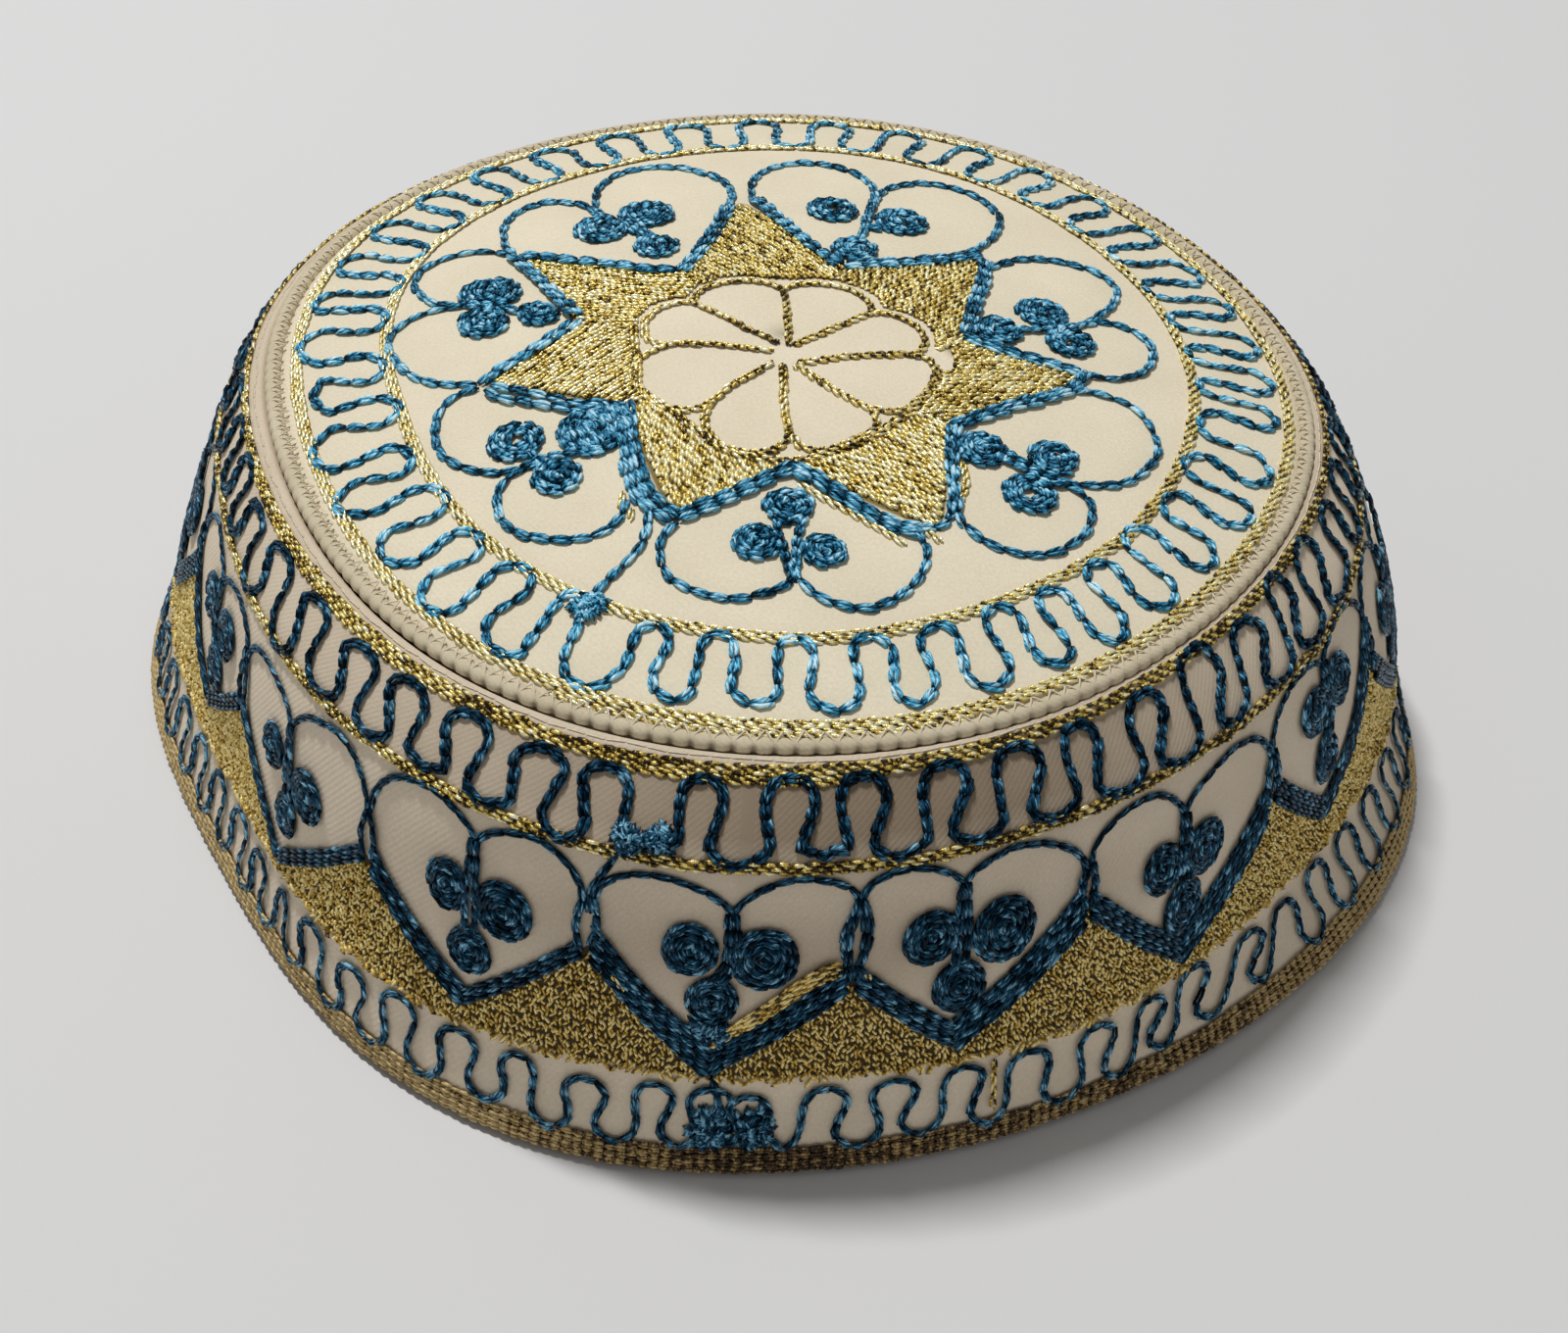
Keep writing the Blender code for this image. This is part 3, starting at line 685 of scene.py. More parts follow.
# The crown's hearts, in mm to the right and to the back of the crown's middle. A vee is its two edges and
# its rows; a blob is its middle, its radius and the radius of the hole left in it.
CROWN_HEARTS = {
    "front": {
        "lobes": (
            ((-12.3, -41.2), (-13.4, -42.6), (-14.1, -45), (-13.9, -48), (-12.8, -50.5), (-10.5, -52.3),
             (-7.5, -53.5), (-4, -53.8), (-1.5, -53), (0.5, -52.2), (2.3, -50.8), (3.1, -49), (3.2, -45)),
            ((3.0, -47.5), (3.6, -49.8), (5.3, -51.8), (8, -53.3), (11, -54), (13.5, -53.8), (16, -52.3),
             (18, -50), (19.7, -47), (20.3, -44), (19.8, -41.8), (18.4, -39.8)),
        ),
        "vees": (
            (((-13, -39.7), (-9.5, -37.3), (-5, -34), (0, -30.4), (2.5, -28.8)),
             ((-11.8, -41.5), (-8, -39.3), (-4, -36.4), (0.2, -32.8), (2.6, -31.4)), 2),
            (((2.2, -28.9), (5, -30.4), (9, -33.6), (13, -36.6), (17, -38.8), (20, -39.2)),
             ((2.0, -31.6), (4.6, -32.9), (8, -35.8), (12, -38.7), (16, -41), (19.4, -41.4)), 2),
        ),
        "blobs": ((-1.9, -44, 2.9, 0), (6.8, -44.8, 2.7, 0), (2.0, -37.2, 3.0, 0)),
        "stems": (
            ((3.2, -48.5), (3.2, -44), (3.6, -40.5), (4.6, -37)),
            ((2.6, -49), (1.6, -45), (0.6, -41), (0.2, -38)),
        ),
    },
    "front_right": {
        "lobes": (
            ((24.3, -36), (25, -38), (26.5, -39.8), (29, -41.3), (32, -42.2), (35, -42.2), (38, -41),
             (40.5, -39), (42.3, -36.5), (43.4, -33.5), (43.3, -31), (42.2, -28.9), (40, -27.8),
             (37, -27.4)),
            ((39, -27.5), (41, -27.4), (43.5, -27), (47, -25.8), (49.5, -24), (51.5, -21), (53, -17.5),
             (53, -14), (52, -11), (50.5, -8.2), (48.5, -6.5), (45.5, -5.7), (43, -5.6), (41, -6.3)),
        ),
        "vees": (
            (((23, -37.5), (23.2, -32), (22.8, -28), (22.9, -23), (23.3, -18.5)),
             ((24.9, -36), (24.8, -32), (24.7, -28), (25, -23), (25.6, -18.4)), 2),
            (((23.4, -18.9), (27.4, -15.4), (31.5, -12.3), (35.5, -9.2), (39.5, -6.2), (41.3, -4),
              (42.2, -1)),
             ((25.4, -19), (28.8, -16.8), (32.7, -13.9), (36.7, -10.9), (40.7, -7.6), (42.6, -4.8),
              (43.3, -1)), 2),
        ),
        "blobs": ((28.4, -23, 3.3, 0), (38.3, -22.8, 3.3, 0), (34.8, -30.8, 3.5, 0.9)),
        "stems": (
            ((41, -27.4), (37.5, -26.8), (34.5, -24.8), (31.5, -22.6)),
            ((40, -28), (37, -28.2), (35, -26.5), (31, -24.5)),
        ),
    },
    "right": {
        "lobes": (
            ((28.2, 23), (30, 25), (33, 27.5), (37, 29.2), (41, 29.5), (44.5, 28.4), (47, 26), (47.8, 22.5),
             (47, 19), (45.5, 16), (43.5, 13), (41, 10.5), (38.5, 9)),
            ((40, 9.8), (42.3, 11.5), (44, 13), (46.5, 13.7), (49.5, 13), (52, 10.5), (52.8, 7.5), (52, 4),
             (50.5, 1.5), (48, -0.6), (45, -1.4), (42.6, -1.6)),
        ),
        "vees": (
            (((24.4, 3.5), (25, 8), (25.8, 14), (26.8, 20), (26.9, 26)),
             ((26.8, 3.5), (27.3, 8), (28, 14), (29.1, 20), (29, 25)), 2),
            (((25, 4.2), (29, 2.2), (34, 0.8), (38, 0), (42.4, -1)),
             ((25.2, 2.0), (29, 0.5), (34, -0.8), (38, -1.4), (42.4, -2.4)), 2),
        ),
        "blobs": ((30.2, 6.2, 3.2, 0), (36.5, 13, 3.5, 0), (40.5, 6.2, 3.4, 0.8)),
        "stems": (
            ((41.5, 10.8), (38.6, 9), (35, 7.8), (31, 6.5)),
            ((37, 11), (38.5, 8.8), (38.5, 7)),
        ),
    },
    "back_right": {
        "lobes": (
            ((-5.4, 36.5), (-6, 41), (-5.6, 45), (-4, 48.8), (-1, 51.3), (3, 52), (7, 50.3), (10, 47),
             (11.4, 43), (11.3, 38), (10.3, 33)),
            ((11.4, 39), (12.8, 43.5), (16, 47), (20, 48.3), (24, 47.6), (27.5, 45), (29.7, 41), (29.7, 36),
             (28.4, 32), (26, 28), (23.5, 25.3)),
        ),
        "vees": (
            (((6.3, 17), (3.6, 20.2), (1.2, 24), (-1, 27.5), (-3.2, 31.5), (-6.3, 37)),
             ((7.8, 19), (5.6, 21.4), (3.2, 24.8), (1, 28.2), (-1.4, 32.4), (-4.2, 38)), 2),
            (((7.6, 17), (12, 18.6), (16.5, 20), (21, 22), (25, 24), (27.8, 25.4)),
             ((7.8, 19.2), (11.6, 20.4), (15.6, 22), (20, 24), (24, 26), (27.2, 27.8)), 2),
        ),
        "blobs": ((5.6, 35, 3.3, 0.9), (15.3, 33.4, 3.5, 0), (8.8, 23.4, 3.0, 0)),
        "stems": (
            ((11.4, 40), (10.6, 35), (10.2, 30), (9.4, 26)),
            ((10.3, 34), (10.5, 30.5), (12.6, 30.5)),
        ),
    },
    "back_left": {
        "lobes": (
            ((-39.3, 22), (-41, 26), (-41.5, 30), (-40.8, 34), (-38.6, 37.2), (-35, 38.8), (-31.5, 37.8),
             (-28.8, 35.5), (-26.8, 31.5)),
            ((-27.6, 33.5), (-28.4, 38), (-28.2, 43), (-26, 47.8), (-22, 50), (-17, 49.8), (-13, 47.5),
             (-10, 44), (-8.7, 40), (-9, 35)),
        ),
        "vees": (
            (((-15, 14.5), (-20, 15), (-26, 16.6), (-32, 18.6), (-38.6, 20.6)),
             ((-15.6, 16.6), (-20, 16.9), (-26, 18.6), (-32, 20.6), (-38, 22.8)), 2),
            (((-16, 15.4), (-14, 19), (-12.3, 24), (-11, 29), (-10, 35)),
             ((-13.8, 14.6), (-11.9, 19), (-10.3, 24), (-9, 29), (-7.8, 35)), 2),
        ),
        "blobs": ((-27.0, 28.4, 3.7, 0), (-20.6, 33.2, 3.7, 0), (-18.6, 22.8, 3.0, 0)),
        "stems": (
            ((-28, 34), (-25.5, 31), (-23, 28.5), (-20.5, 25.5)),
            ((-24, 30.5), (-21.5, 29), (-19.5, 25)),
        ),
    },
    "left": {
        "lobes": (
            ((-39.8, 22.2), (-43, 23.9), (-47, 24.1), (-51, 22.5), (-53.6, 19.8), (-54.2, 16.5),
             (-53.2, 13.2), (-51, 10.3), (-48.5, 9.2), (-45, 8.6)),
            ((-46.5, 8.8), (-51, 8.5), (-54, 7.5), (-56.5, 5.3), (-58, 2.5), (-58.2, 0), (-57.5, -3),
             (-56.3, -6), (-54, -9), (-51, -11), (-48, -11.8), (-45, -12.2)),
        ),
        "vees": (
            (((-28.6, 3.6), (-31, 8.2), (-33.6, 13), (-36.4, 18), (-38.4, 21.6)),
             ((-31.6, 3.8), (-33.6, 8.4), (-36, 13.4), (-38.4, 18), (-40.6, 22)), 2),
            (((-28.6, 2.6), (-31.4, -0.6), (-35, -4), (-38.4, -7.4), (-41.4, -10.2), (-43, -12.6)),
             ((-31.4, 2.8), (-33.8, -0.2), (-37, -3.4), (-40.4, -6.6), (-43.2, -9.4), (-45.2, -12)), 2),
        ),
        "blobs": ((-43.6, 11.4, 3.6, 0), (-44, 3.8, 3.5, 0), (-35.8, 5.2, 2.8, 0)),
        "stems": (
            ((-46.5, 8.6), (-43, 7.8), (-39.5, 6.4), (-36.5, 5.6)),
            ((-42, 8.4), (-39.6, 9), (-38.7, 11.6), (-39.8, 14.4), (-42.4, 15)),
        ),
    },
    "front_left": {
        "lobes": (
            ((-44.6, -13.3), (-48, -14.5), (-49.6, -17), (-50.3, -21), (-49.7, -25), (-48, -28.5),
             (-45, -31), (-42, -32.2), (-38, -32.7), (-34.5, -31.8), (-32.5, -30.4)),
            ((-35, -32), (-37.2, -33.6), (-38.2, -36), (-37.9, -39), (-36.8, -41.6), (-34.6, -43.5),
             (-32, -44.7), (-28, -45.2), (-24, -44.5), (-21.5, -43), (-20, -41), (-19.6, -37.5)),
        ),
        "vees": (
            (((-43, -12.6), (-38, -14.6), (-33, -17), (-29, -18.2), (-25, -18.2), (-21, -18.8)),
             ((-42.8, -13.8), (-37.6, -15.8), (-32.6, -18.2), (-29, -19.6), (-25, -20.2), (-22, -21)), 1),
            (((-44, -13.6), (-42.2, -15.6), (-38, -17.1), (-34, -18.4), (-29, -19.4), (-24, -20)),
             ((-43.6, -14.8), (-41.8, -16.6), (-37.8, -18.1), (-34, -19.4), (-29, -20.8), (-24, -21.6)), 1),
            (((-21, -18.2), (-19.8, -22), (-19.2, -26), (-17.8, -30), (-16.6, -34), (-15.2, -37),
              (-11.6, -40.2)),
             ((-23.6, -20), (-23, -23.4), (-21.8, -27), (-21, -31), (-19.8, -35), (-18, -38.4),
              (-13.8, -41.4)), 3),
        ),
        "blobs": ((-37.5, -26.3, 3.8, 1.0), (-30, -33.6, 3.3, 0), (-26.2, -24.4, 4.7, 0)),
        "stems": (
            ((-35.5, -32.2), (-33, -30.3), (-30, -29.4), (-27.5, -28.6)),
            ((-35, -28.5), (-33.6, -30.2), (-32, -31.6)),
        ),
    },
}

# The flower's petals in gold thread, each line from the middle of the flower.
PETAL_RIBS = (
    ((0.2, -7.6), (0.5, -14), (1.0, -20), (1.8, -24.2)),
    ((1.6, -7.6), (5, -11), (9, -14.5), (12.8, -17.2)),
    ((2.0, -7.2), (6, -6.4), (10, -5), (14, -3.8), (19, -2.7)),
    ((1.4, -3), (5, 0.2), (8, 3.1), (11, 5.8), (12.6, 7.2)),
    ((0.8, -3), (0.4, 3), (0, 8), (-0.8, 11.8)),
    ((-0.6, -2.6), (-5, 0.5), (-9, 4), (-13, 7.2)),
    ((-1.2, -4.6), (-6, -4.4), (-12, -4), (-16.5, -3.8), (-18.8, -4.4)),
    ((-1.2, -7.2), (-4.5, -11), (-7.5, -14.5), (-9.6, -17.8)),
)
PETAL_ENDS = (
    ((1.7, -23.6), (3, -25.5), (5.5, -26.3), (8.5, -25), (11.5, -22.8), (13.4, -20.4), (13.2, -18.4),
     (12.6, -16.8)),
    ((12.6, -16.9), (15.5, -17), (18.5, -15.3), (20.5, -12), (21.6, -8.5), (21.5, -5.2), (20.2, -3.2),
     (18.2, -2.9)),
    ((18.6, -2.8), (19.8, -0.6), (19.6, 2.2), (18.2, 4.8), (15.4, 6.6), (13.4, 7), (12, 6.6)),
    ((12.2, 7), (11.4, 9.6), (9.6, 11.6), (7, 12.7), (4, 13), (1.4, 12.4), (-0.6, 11.2)),
    ((-0.6, 11), (-2.4, 12.3), (-5.2, 12.9), (-8.6, 12.4), (-11.4, 10.6), (-12.6, 8.6), (-12.6, 6.8)),
    ((-12.6, 7), (-15.4, 6.8), (-18, 5.4), (-19.8, 2.8), (-20.4, -0.4), (-19.8, -2.8), (-18, -4.2)),
    ((-17, -4), (-20, -5.8), (-21.8, -9), (-21.6, -13), (-19.6, -16.5), (-16.6, -18.8), (-13.6, -19.5),
     (-11, -18.8), (-9.2, -17.2)),
    ((-9.2, -17), (-10.1, -20.4), (-9.4, -23.4), (-7.4, -25.9), (-4.4, -27.3), (-1.6, -27.2), (0.4, -25.8),
     (1.7, -23.4)),
)
# Where the star's gold field ends round the flower.
STAR_HOLE = ((-21.8, -11.2), (-20.8, -15), (-18.2, -18), (-15.2, -20), (-12.2, -23), (-10, -24.8),
    (-8, -26.8), (-5.5, -28), (-2.8, -28.8), (0, -28.8), (2.2, -29), (4.5, -28.2), (7.2, -27), (10.8, -25),
    (14.2, -22), (18, -17.8), (20.8, -12.8), (22.2, -8.8), (22.4, -4), (21.2, -1), (20.8, 3), (19.2, 6),
    (16.2, 7.8), (13.6, 8.2), (12.2, 11.2), (9.8, 13), (6.6, 14), (3.6, 14.2), (0.4, 13.4), (-2.6, 13.4),
    (-5.6, 14.1), (-9.2, 13.5), (-12.2, 11.4), (-13.6, 8.2), (-16, 8), (-19, 6.2), (-21, 3), (-21.4, -0.6),
    (-21, -3.2), (-22, -6))
PETAL_RINGS = (
    ((-22.0, 1.5), (-21.8, -6), (-21.3, -11.2), (-20.3, -15), (-17.8, -17.7), (-14.9, -19.7), (-11.8, -22.6),
     (-9.6, -24.5), (-7.7, -26.4), (-5.3, -27.7), (-2.7, -28.4), (0, -28.5), (2.2, -28.6)),
    ((2.2, -28.6), (4.4, -27.9), (7, -26.7), (10.5, -24.7), (13.9, -21.8), (17.6, -17.6), (20.4, -12.7),
     (21.8, -8.8), (22.2, -5)),
    ((9, -24.8), (14, -21), (17.5, -17.2), (20, -12.6)),
    ((23.6, -8.5), (24.6, -5), (24.4, -1.5), (22.6, 2.6)),
)
FLOWER_MIDDLE = (0.0, -7.2)
# Slivers of bare cloth beside the flower: middle and half sizes in mm. Then the outline of the star.
SLIVERS = ((23.4, -3.2, 0.8, 3.0), (-21.6, -2.6, 0.7, 3.2))
STAR = ((2.4, -29.6), (21.8, -39.6), (24.2, -18.6), (42.3, -3.2), (25.8, 3.4), (27.6, 26.2), (7.4, 18.2),
    (-7, 36.4), (-14.8, 15.4), (-39.4, 22), (-30, 3), (-43.4, -12.4), (-21.8, -19), (-12.6, -40.6))

# Loose ends that run on from the pattern, and the knots they end in, as place and radius in mm.
CROWN_TAILS = (
    ((-16, -39), (-16, -43), (-17, -46), (-19, -49.5), (-21, -52.5), (-22, -54)),
    ((19, -40), (20.5, -39.4), (22, -39), (23.3, -37.5), (24, -35.5)),
)
CROWN_KNOTS = ((-23, -56.5, 1.8), (-21.8, -55.6, 1.3))
SIDE_TAILS = (
    ((-10.8, 0.22), (-10.9, 0.25), (-11.8, 0.30), (-12.6, 0.34), (-12.7, 0.40)),
    ((-2.7, 0.745), (-2.3, 0.78), (-2.0, 0.82), (-1.6, 0.87)),
    ((8.8, 0.34), (8.2, 0.36), (7.6, 0.40), (7.6, 0.44), (8.0, 0.475), (8.3, 0.505)),
    ((9.0, 0.33), (9.5, 0.37), (9.6, 0.41), (9.2, 0.45), (8.7, 0.49)),
)
SIDE_KNOTS = ((-10.0, 0.20, 1.9), (-7.4, 0.19, 1.9), (-2.4, 0.90, 2.4), (1.1, 0.895, 2.3), (-2.1, 0.66, 1.5),
    (-3.3, 0.65, 1.3))
# Where the teal fills the whole inner corner of the front left heart.
TEAL_CORNER = ((-28, -18.5), (-24, -18), (-20.5, -19.5), (-20, -24), (-21.5, -26), (-24, -28.5),
    (-27, -29.5), (-30, -28), (-31, -25.5), (-28, -22))
# Short runs of gold beside the teal: on the crown, then on the side.
CROWN_GOLD_ENDS = (
    ((3, -33), (6, -35), (9, -37), (12, -39), (15, -41), (17.5, -42.8)),
    ((20, -40.2), (21.2, -41), (22.3, -41.8)),
    ((25.5, -26), (25.8, -30), (25, -34)),
    ((-20, -36), (-20, -39.5)),
    ((-18.5, -39), (-18.5, -41.5)),
)
SIDE_GOLD_ENDS = (
    ((-2.5, 0.688), (-1.6, 0.660), (0, 0.611), (2, 0.562), (4, 0.510), (6, 0.474), (7.4, 0.464)),
    ((-2.8, 0.699), (-2.2, 0.682), (0, 0.627), (2, 0.580), (4, 0.527), (6, 0.490), (7.5, 0.480)),
    ((-2.6, 0.698), (0, 0.643), (2, 0.597), (4, 0.543), (6, 0.505), (7.6, 0.494)),
    ((9.3, 0.490), (9.7, 0.515)),
    ((-10.5, 0.53), (-9.5, 0.57)),
    ((20.7, 0.80), (20.7, 0.86), (20.7, 0.92)),
)


def mark(degrees, radius):
    """A place on the crown's chart from an angle and a radius."""
    turn = math.radians(degrees)
    return (radius * math.sin(turn), -radius * math.cos(turn))


def crown_meander():
    """The teal line that winds round the crown's border, as one closed line."""
    loops = list(CROWN_LOOPS)
    start, stop = loops[-1][0], loops[0][0] + 360
    step = (stop - start) / (CROWN_LOOPS_BEHIND + 1)
    for place in range(1, CROWN_LOOPS_BEHIND + 1):
        peak = start + step * place
        loops.append((peak, 58.8, peak - 2.4, peak + 2.4, peak + 1.9, peak + step / 2, 71.2))
    line = []
    for peak, high, left, right_high, right_low, valley, low in loops:
        line += [(left, 68.2), (left, 65), (left - 0.1, 61.9), ((left + peak) / 2 - 0.5, high + 0.7),
                 (peak, high), ((right_high + peak) / 2 + 0.5, high + 0.7), (right_high, 62.0),
                 ((right_high + right_low) / 2, 65), (right_low, 68.2),
                 ((right_low + valley) / 2 - 0.4, low - 0.9), (valley, low),
                 (valley + 0.6 * (valley - right_low), low - 0.9)]
    return [[mark(*place) for place in line + line[:1]]]


def upper_meander():
    """The teal line that winds round the side below the seam."""
    loops = list(UPPER_LOOPS)
    start, stop = loops[-1][0], loops[0][0] + 360
    step = (stop - start) / (UPPER_LOOPS_BEHIND + 1)
    for place in range(1, UPPER_LOOPS_BEHIND + 1):
        peak = start + step * place
        loops.append((peak, 0.03, peak - 2.2, peak - 1.7, peak + 2.2, peak + 1.7, peak + step / 2, 0.236))
    line = []
    for peak, high, left, left_low, right, right_low, valley, low in loops:
        line += [(left_low, 0.195), ((left + left_low) / 2, 0.13), (left, 0.08),
                 ((left + peak) / 2 - 0.4, high + 0.012), (peak, high),
                 ((right + peak) / 2 + 0.4, high + 0.012), (right, 0.08),
                 ((right + right_low) / 2, 0.13), (right_low, 0.195),
                 ((right_low + valley) / 2 - 0.2, low - 0.012), (valley, low),
                 (valley + 0.55 * (valley - right_low), low - 0.012)]
    line.append((line[0][0] + 360, line[0][1]))
    return [line]


def lower_meander():
    """The teal line that winds round the side above the rim."""
    loops = list(LOWER_LOOPS)
    start, stop = loops[-1][3], loops[0][0] + 360
    step = (stop - start) / (LOWER_LOOPS_BEHIND + 0.5)
    for place in range(LOWER_LOOPS_BEHIND):
        valley = start + step * (place + 0.5)
        loops.append((valley, 1.6, 0.945, valley + step / 2, 1.7, 0.815))
    line = []
    for valley, valley_half, low, peak, peak_half, high in loops:
        line += [(valley - valley_half, low - 0.028), (valley, low), (valley + valley_half, low - 0.028),
                 (peak - peak_half, high + 0.03), (peak - peak_half * 0.6, high + 0.006), (peak, high),
                 (peak + peak_half * 0.6, high + 0.006), (peak + peak_half, high + 0.03)]
    line.append((line[0][0] + 360, line[0][1]))
    return [line]


def arch(foot, top, other_foot, outer=2.2, inner=1.6, count=7):
    """A lobe from a foot over its top to the other foot, level at the top and upright at the feet."""
    line = []
    turn = np.linspace(0, math.pi / 2, count)
    for (x, y), fullness in ((foot, outer), (other_foot, inner)):
        across = top[0] + (x - top[0]) * np.cos(turn) ** (2 / fullness)
        line.append(np.stack([across, y + (top[1] - y) * np.sin(turn) ** (2 / fullness)], 1))
    return np.concatenate([line[0], line[1][-2::-1]])


def coil(chart, middle, half, spacing=1.02, hole=0.0, start=0.0):
    """A filled blob: one line that goes once round the edge and then winds in to the middle or the hole."""
    radius = (half[0] * chart["scale"][0] + half[1] * chart["scale"][1]) / 2
    edge = radius - spacing * 0.55
    stop = max(hole + spacing * 0.5, 0.12)
    turns = 1.5 + max(0.3, (edge - stop) / spacing)
    angle = np.linspace(0, turns * math.tau, int(turns * 14))
    away = np.maximum(edge - spacing * np.maximum(angle / math.tau - 1, 0), stop) / radius
    return np.stack([middle[0] + half[0] * away * np.cos(angle + start),
                     middle[1] + half[1] * away * np.sin(angle + start)], 1)


def heart_charts():
    """The side's hearts, with those behind spaced evenly between the last and the first."""
    hearts = [dict(zip(HEART_PARTS, row)) for row in SIDE_HEARTS]
    start, stop = hearts[-1]["right"][0], hearts[0]["left"][0] + 360
    step = (stop - start) / SIDE_HEARTS_BEHIND
    for place in range(SIDE_HEARTS_BEHIND):
        edge = start + step * place
        hearts.append(dict(zip(HEART_PARTS, (
            (edge, 0.38), (edge + step * 0.27, 0.27), (edge + step / 2, 0.35), (edge + step * 0.73, 0.27),
            (edge + step, 0.38), (edge, 0.475), (edge + step, 0.475), (edge + step / 2, 0.715),
            (edge + step * 0.36, 0.455, 2.1, 0.058), (edge + step * 0.64, 0.455, 2.3, 0.062),
            (edge + step / 2, 0.59, 2.2, 0.072), 3, 3))))
    return hearts


HEARTS = heart_charts()


ZIGZAG_ROW = 0.027     # from one row of the zigzag to the next, as a share of the band
FLANK_BEND = 0.45      # how many degrees a heart's flank bends inwards
STEM_SPREAD = 0.45     # half the degrees between a trefoil's two stems


def vee_rows(fork, tip, count):
    """Rows of one arm of a zigzag, from the fork down to the tip, side by side below each other."""
    lines = []
    for row in range(count):
        shift = (row - (count - 1) / 2) * ZIGZAG_ROW
        middle = ((fork[0] + tip[0]) / 2, (fork[1] + tip[1]) / 2 + shift + 0.006)
        lines.append([(fork[0], fork[1] + shift), middle, (tip[0], tip[1] + shift * 0.9)])
    return lines


def side_lobe_lines():
    """The round upper lines of the hearts, and the loose ends."""
    lines = list(SIDE_TAILS)
    for heart in HEARTS:
        lines.append(arch(heart["left"], heart["left_top"], heart["cleft"]))
        lines.append(arch(heart["cleft"], heart["right_top"], heart["right"], 1.6, 1.9))
    return lines


def side_heart_lines():
    """The hearts' straight flanks, the rows of the zigzag and the two stems of each trefoil."""
    lines = []
    for heart in HEARTS:
        for side in ("left", "right"):
            foot, fork = heart[side], heart[side + "_fork"]
            nudge = FLANK_BEND if side == "left" else -FLANK_BEND
            middle = ((foot[0] + fork[0]) / 2 + nudge, (foot[1] + fork[1]) / 2)
            lines.append([(foot[0], foot[1] - 0.01), middle, (fork[0], fork[1] + 0.01)])
            lines += vee_rows(fork, heart["tip"], heart[side + "_rows"])
        cleft, low = heart["cleft"], heart["low_blob"]
        for nudge in (-STEM_SPREAD, STEM_SPREAD):
            middle = (cleft[0] + nudge, (cleft[1] + low[1]) / 2)
            lines.append([(cleft[0] + nudge * 0.6, cleft[1] - 0.01), middle,
                          (low[0] + nudge, low[1] - low[3] * 0.7)])
    return lines


BLOB_GROWTH = 1.1      # the coiled thread spreads this much beyond its charted edge
LOW_BLOB_GROWTH = 0.94     # the lowest leaf's stays inside it
LOW_BLOB_RISE = 0.008      # and lies a little higher


def side_blob_lines():
    """The coiled leaves of the side's trefoils."""
    lines = []
    for heart in HEARTS:
        for which in ("left_blob", "right_blob", "low_blob"):
            x, y, wide, tall = heart[which]
            growth = LOW_BLOB_GROWTH if which == "low_blob" else BLOB_GROWTH
            y -= LOW_BLOB_RISE if which == "low_blob" else 0.0
            lines.append(coil(SIDE, (x, y), (wide * growth, tall * growth), start=rng.uniform(0, 6)))
    return lines


def spaced(edge, count=12):
    """The edge as evenly spaced points."""
    edge = np.array(edge, float)
    share = running(edge) / running(edge)[-1]
    return np.stack([np.interp(np.linspace(0, 1, count), share, edge[:, i]) for i in (0, 1)], 1)


def crown_vee_lines():
    """Rows spread evenly between the two charted edges of each vee."""
    lines = []
    for heart in CROWN_HEARTS.values():
        for first, second, count in heart["vees"]:
            first, second = spaced(first), spaced(second)
            lines += [first + (second - first) * (row + 0.5) / count for row in range(count)]
    return lines


def crown_blob_lines():
    """The coiled leaves and the stems of the crown's trefoils."""
    lines = []
    for heart in CROWN_HEARTS.values():
        for x, y, radius, hole in heart["blobs"]:
            half = radius * BLOB_GROWTH
            lines.append(coil(CROWN, (x, y), (half, half), hole=hole, start=rng.uniform(0, 6)))
        lines += heart["stems"]
    return lines


# Gold fields.
def inside(polygon, points):
    """Which points lie inside a closed polygon."""
    x, y = points[:, 0], points[:, 1]
    hit = np.zeros(len(points), bool)
    for (x0, y0), (x1, y1) in zip(polygon, polygon[1:] + polygon[:1]):
        crosses = (y0 > y) != (y1 > y)
        with np.errstate(divide="ignore", invalid="ignore"):
            hit ^= crosses & (x < (x1 - x0) * (y - y0) / (y1 - y0) + x0)
    return hit


LEANS = (119, 62)      # the two ways that a filled field's stitches lean, in degrees


def scatter(low, high, across, along):
    """An even grid of places with a small random shift of each, and a lean to the left or the right."""
    columns = np.arange(low[0], high[0], across)
    lines = np.arange(low[1], high[1], along)
    x, y = np.meshgrid(columns, lines)
    leans = np.where(rng.random(x.shape) < 0.66, *LEANS) + rng.normal(0, 13, x.shape)
    x = x + rng.uniform(-0.3, 0.3, x.shape) * across
    y = y + rng.uniform(-0.35, 0.35, y.shape) * along
    return np.stack([x.ravel(), y.ravel()], 1), leans.ravel()


def depth_inside(polygon, points):
    """How deep each point lies inside a closed polygon, in mm, less than 0 outside."""
    nearest = np.full(len(points), np.inf)
    for first, second in zip(polygon, polygon[1:] + polygon[:1]):
        first, edge = np.array(first), np.subtract(second, first)
        part = np.clip((points - first) @ edge / (edge @ edge), 0, 1)
        nearest = np.minimum(nearest, np.linalg.norm(points - first - part[:, None] * edge, axis=1))
    return np.where(inside(polygon, points), nearest, -nearest)


def star_depth(points):
    """How deep each place on the crown lies inside the star's gold field."""
    depth = np.minimum(depth_inside(STAR, points) + 0.9, -depth_inside(STAR_HOLE, points))
    for x, y, half_wide, half_tall in SLIVERS:
        out = (np.hypot((points[:, 0] - x) / half_wide, (points[:, 1] - y) / half_tall) - 1) * half_wide
        depth = np.minimum(depth, out)
    return depth


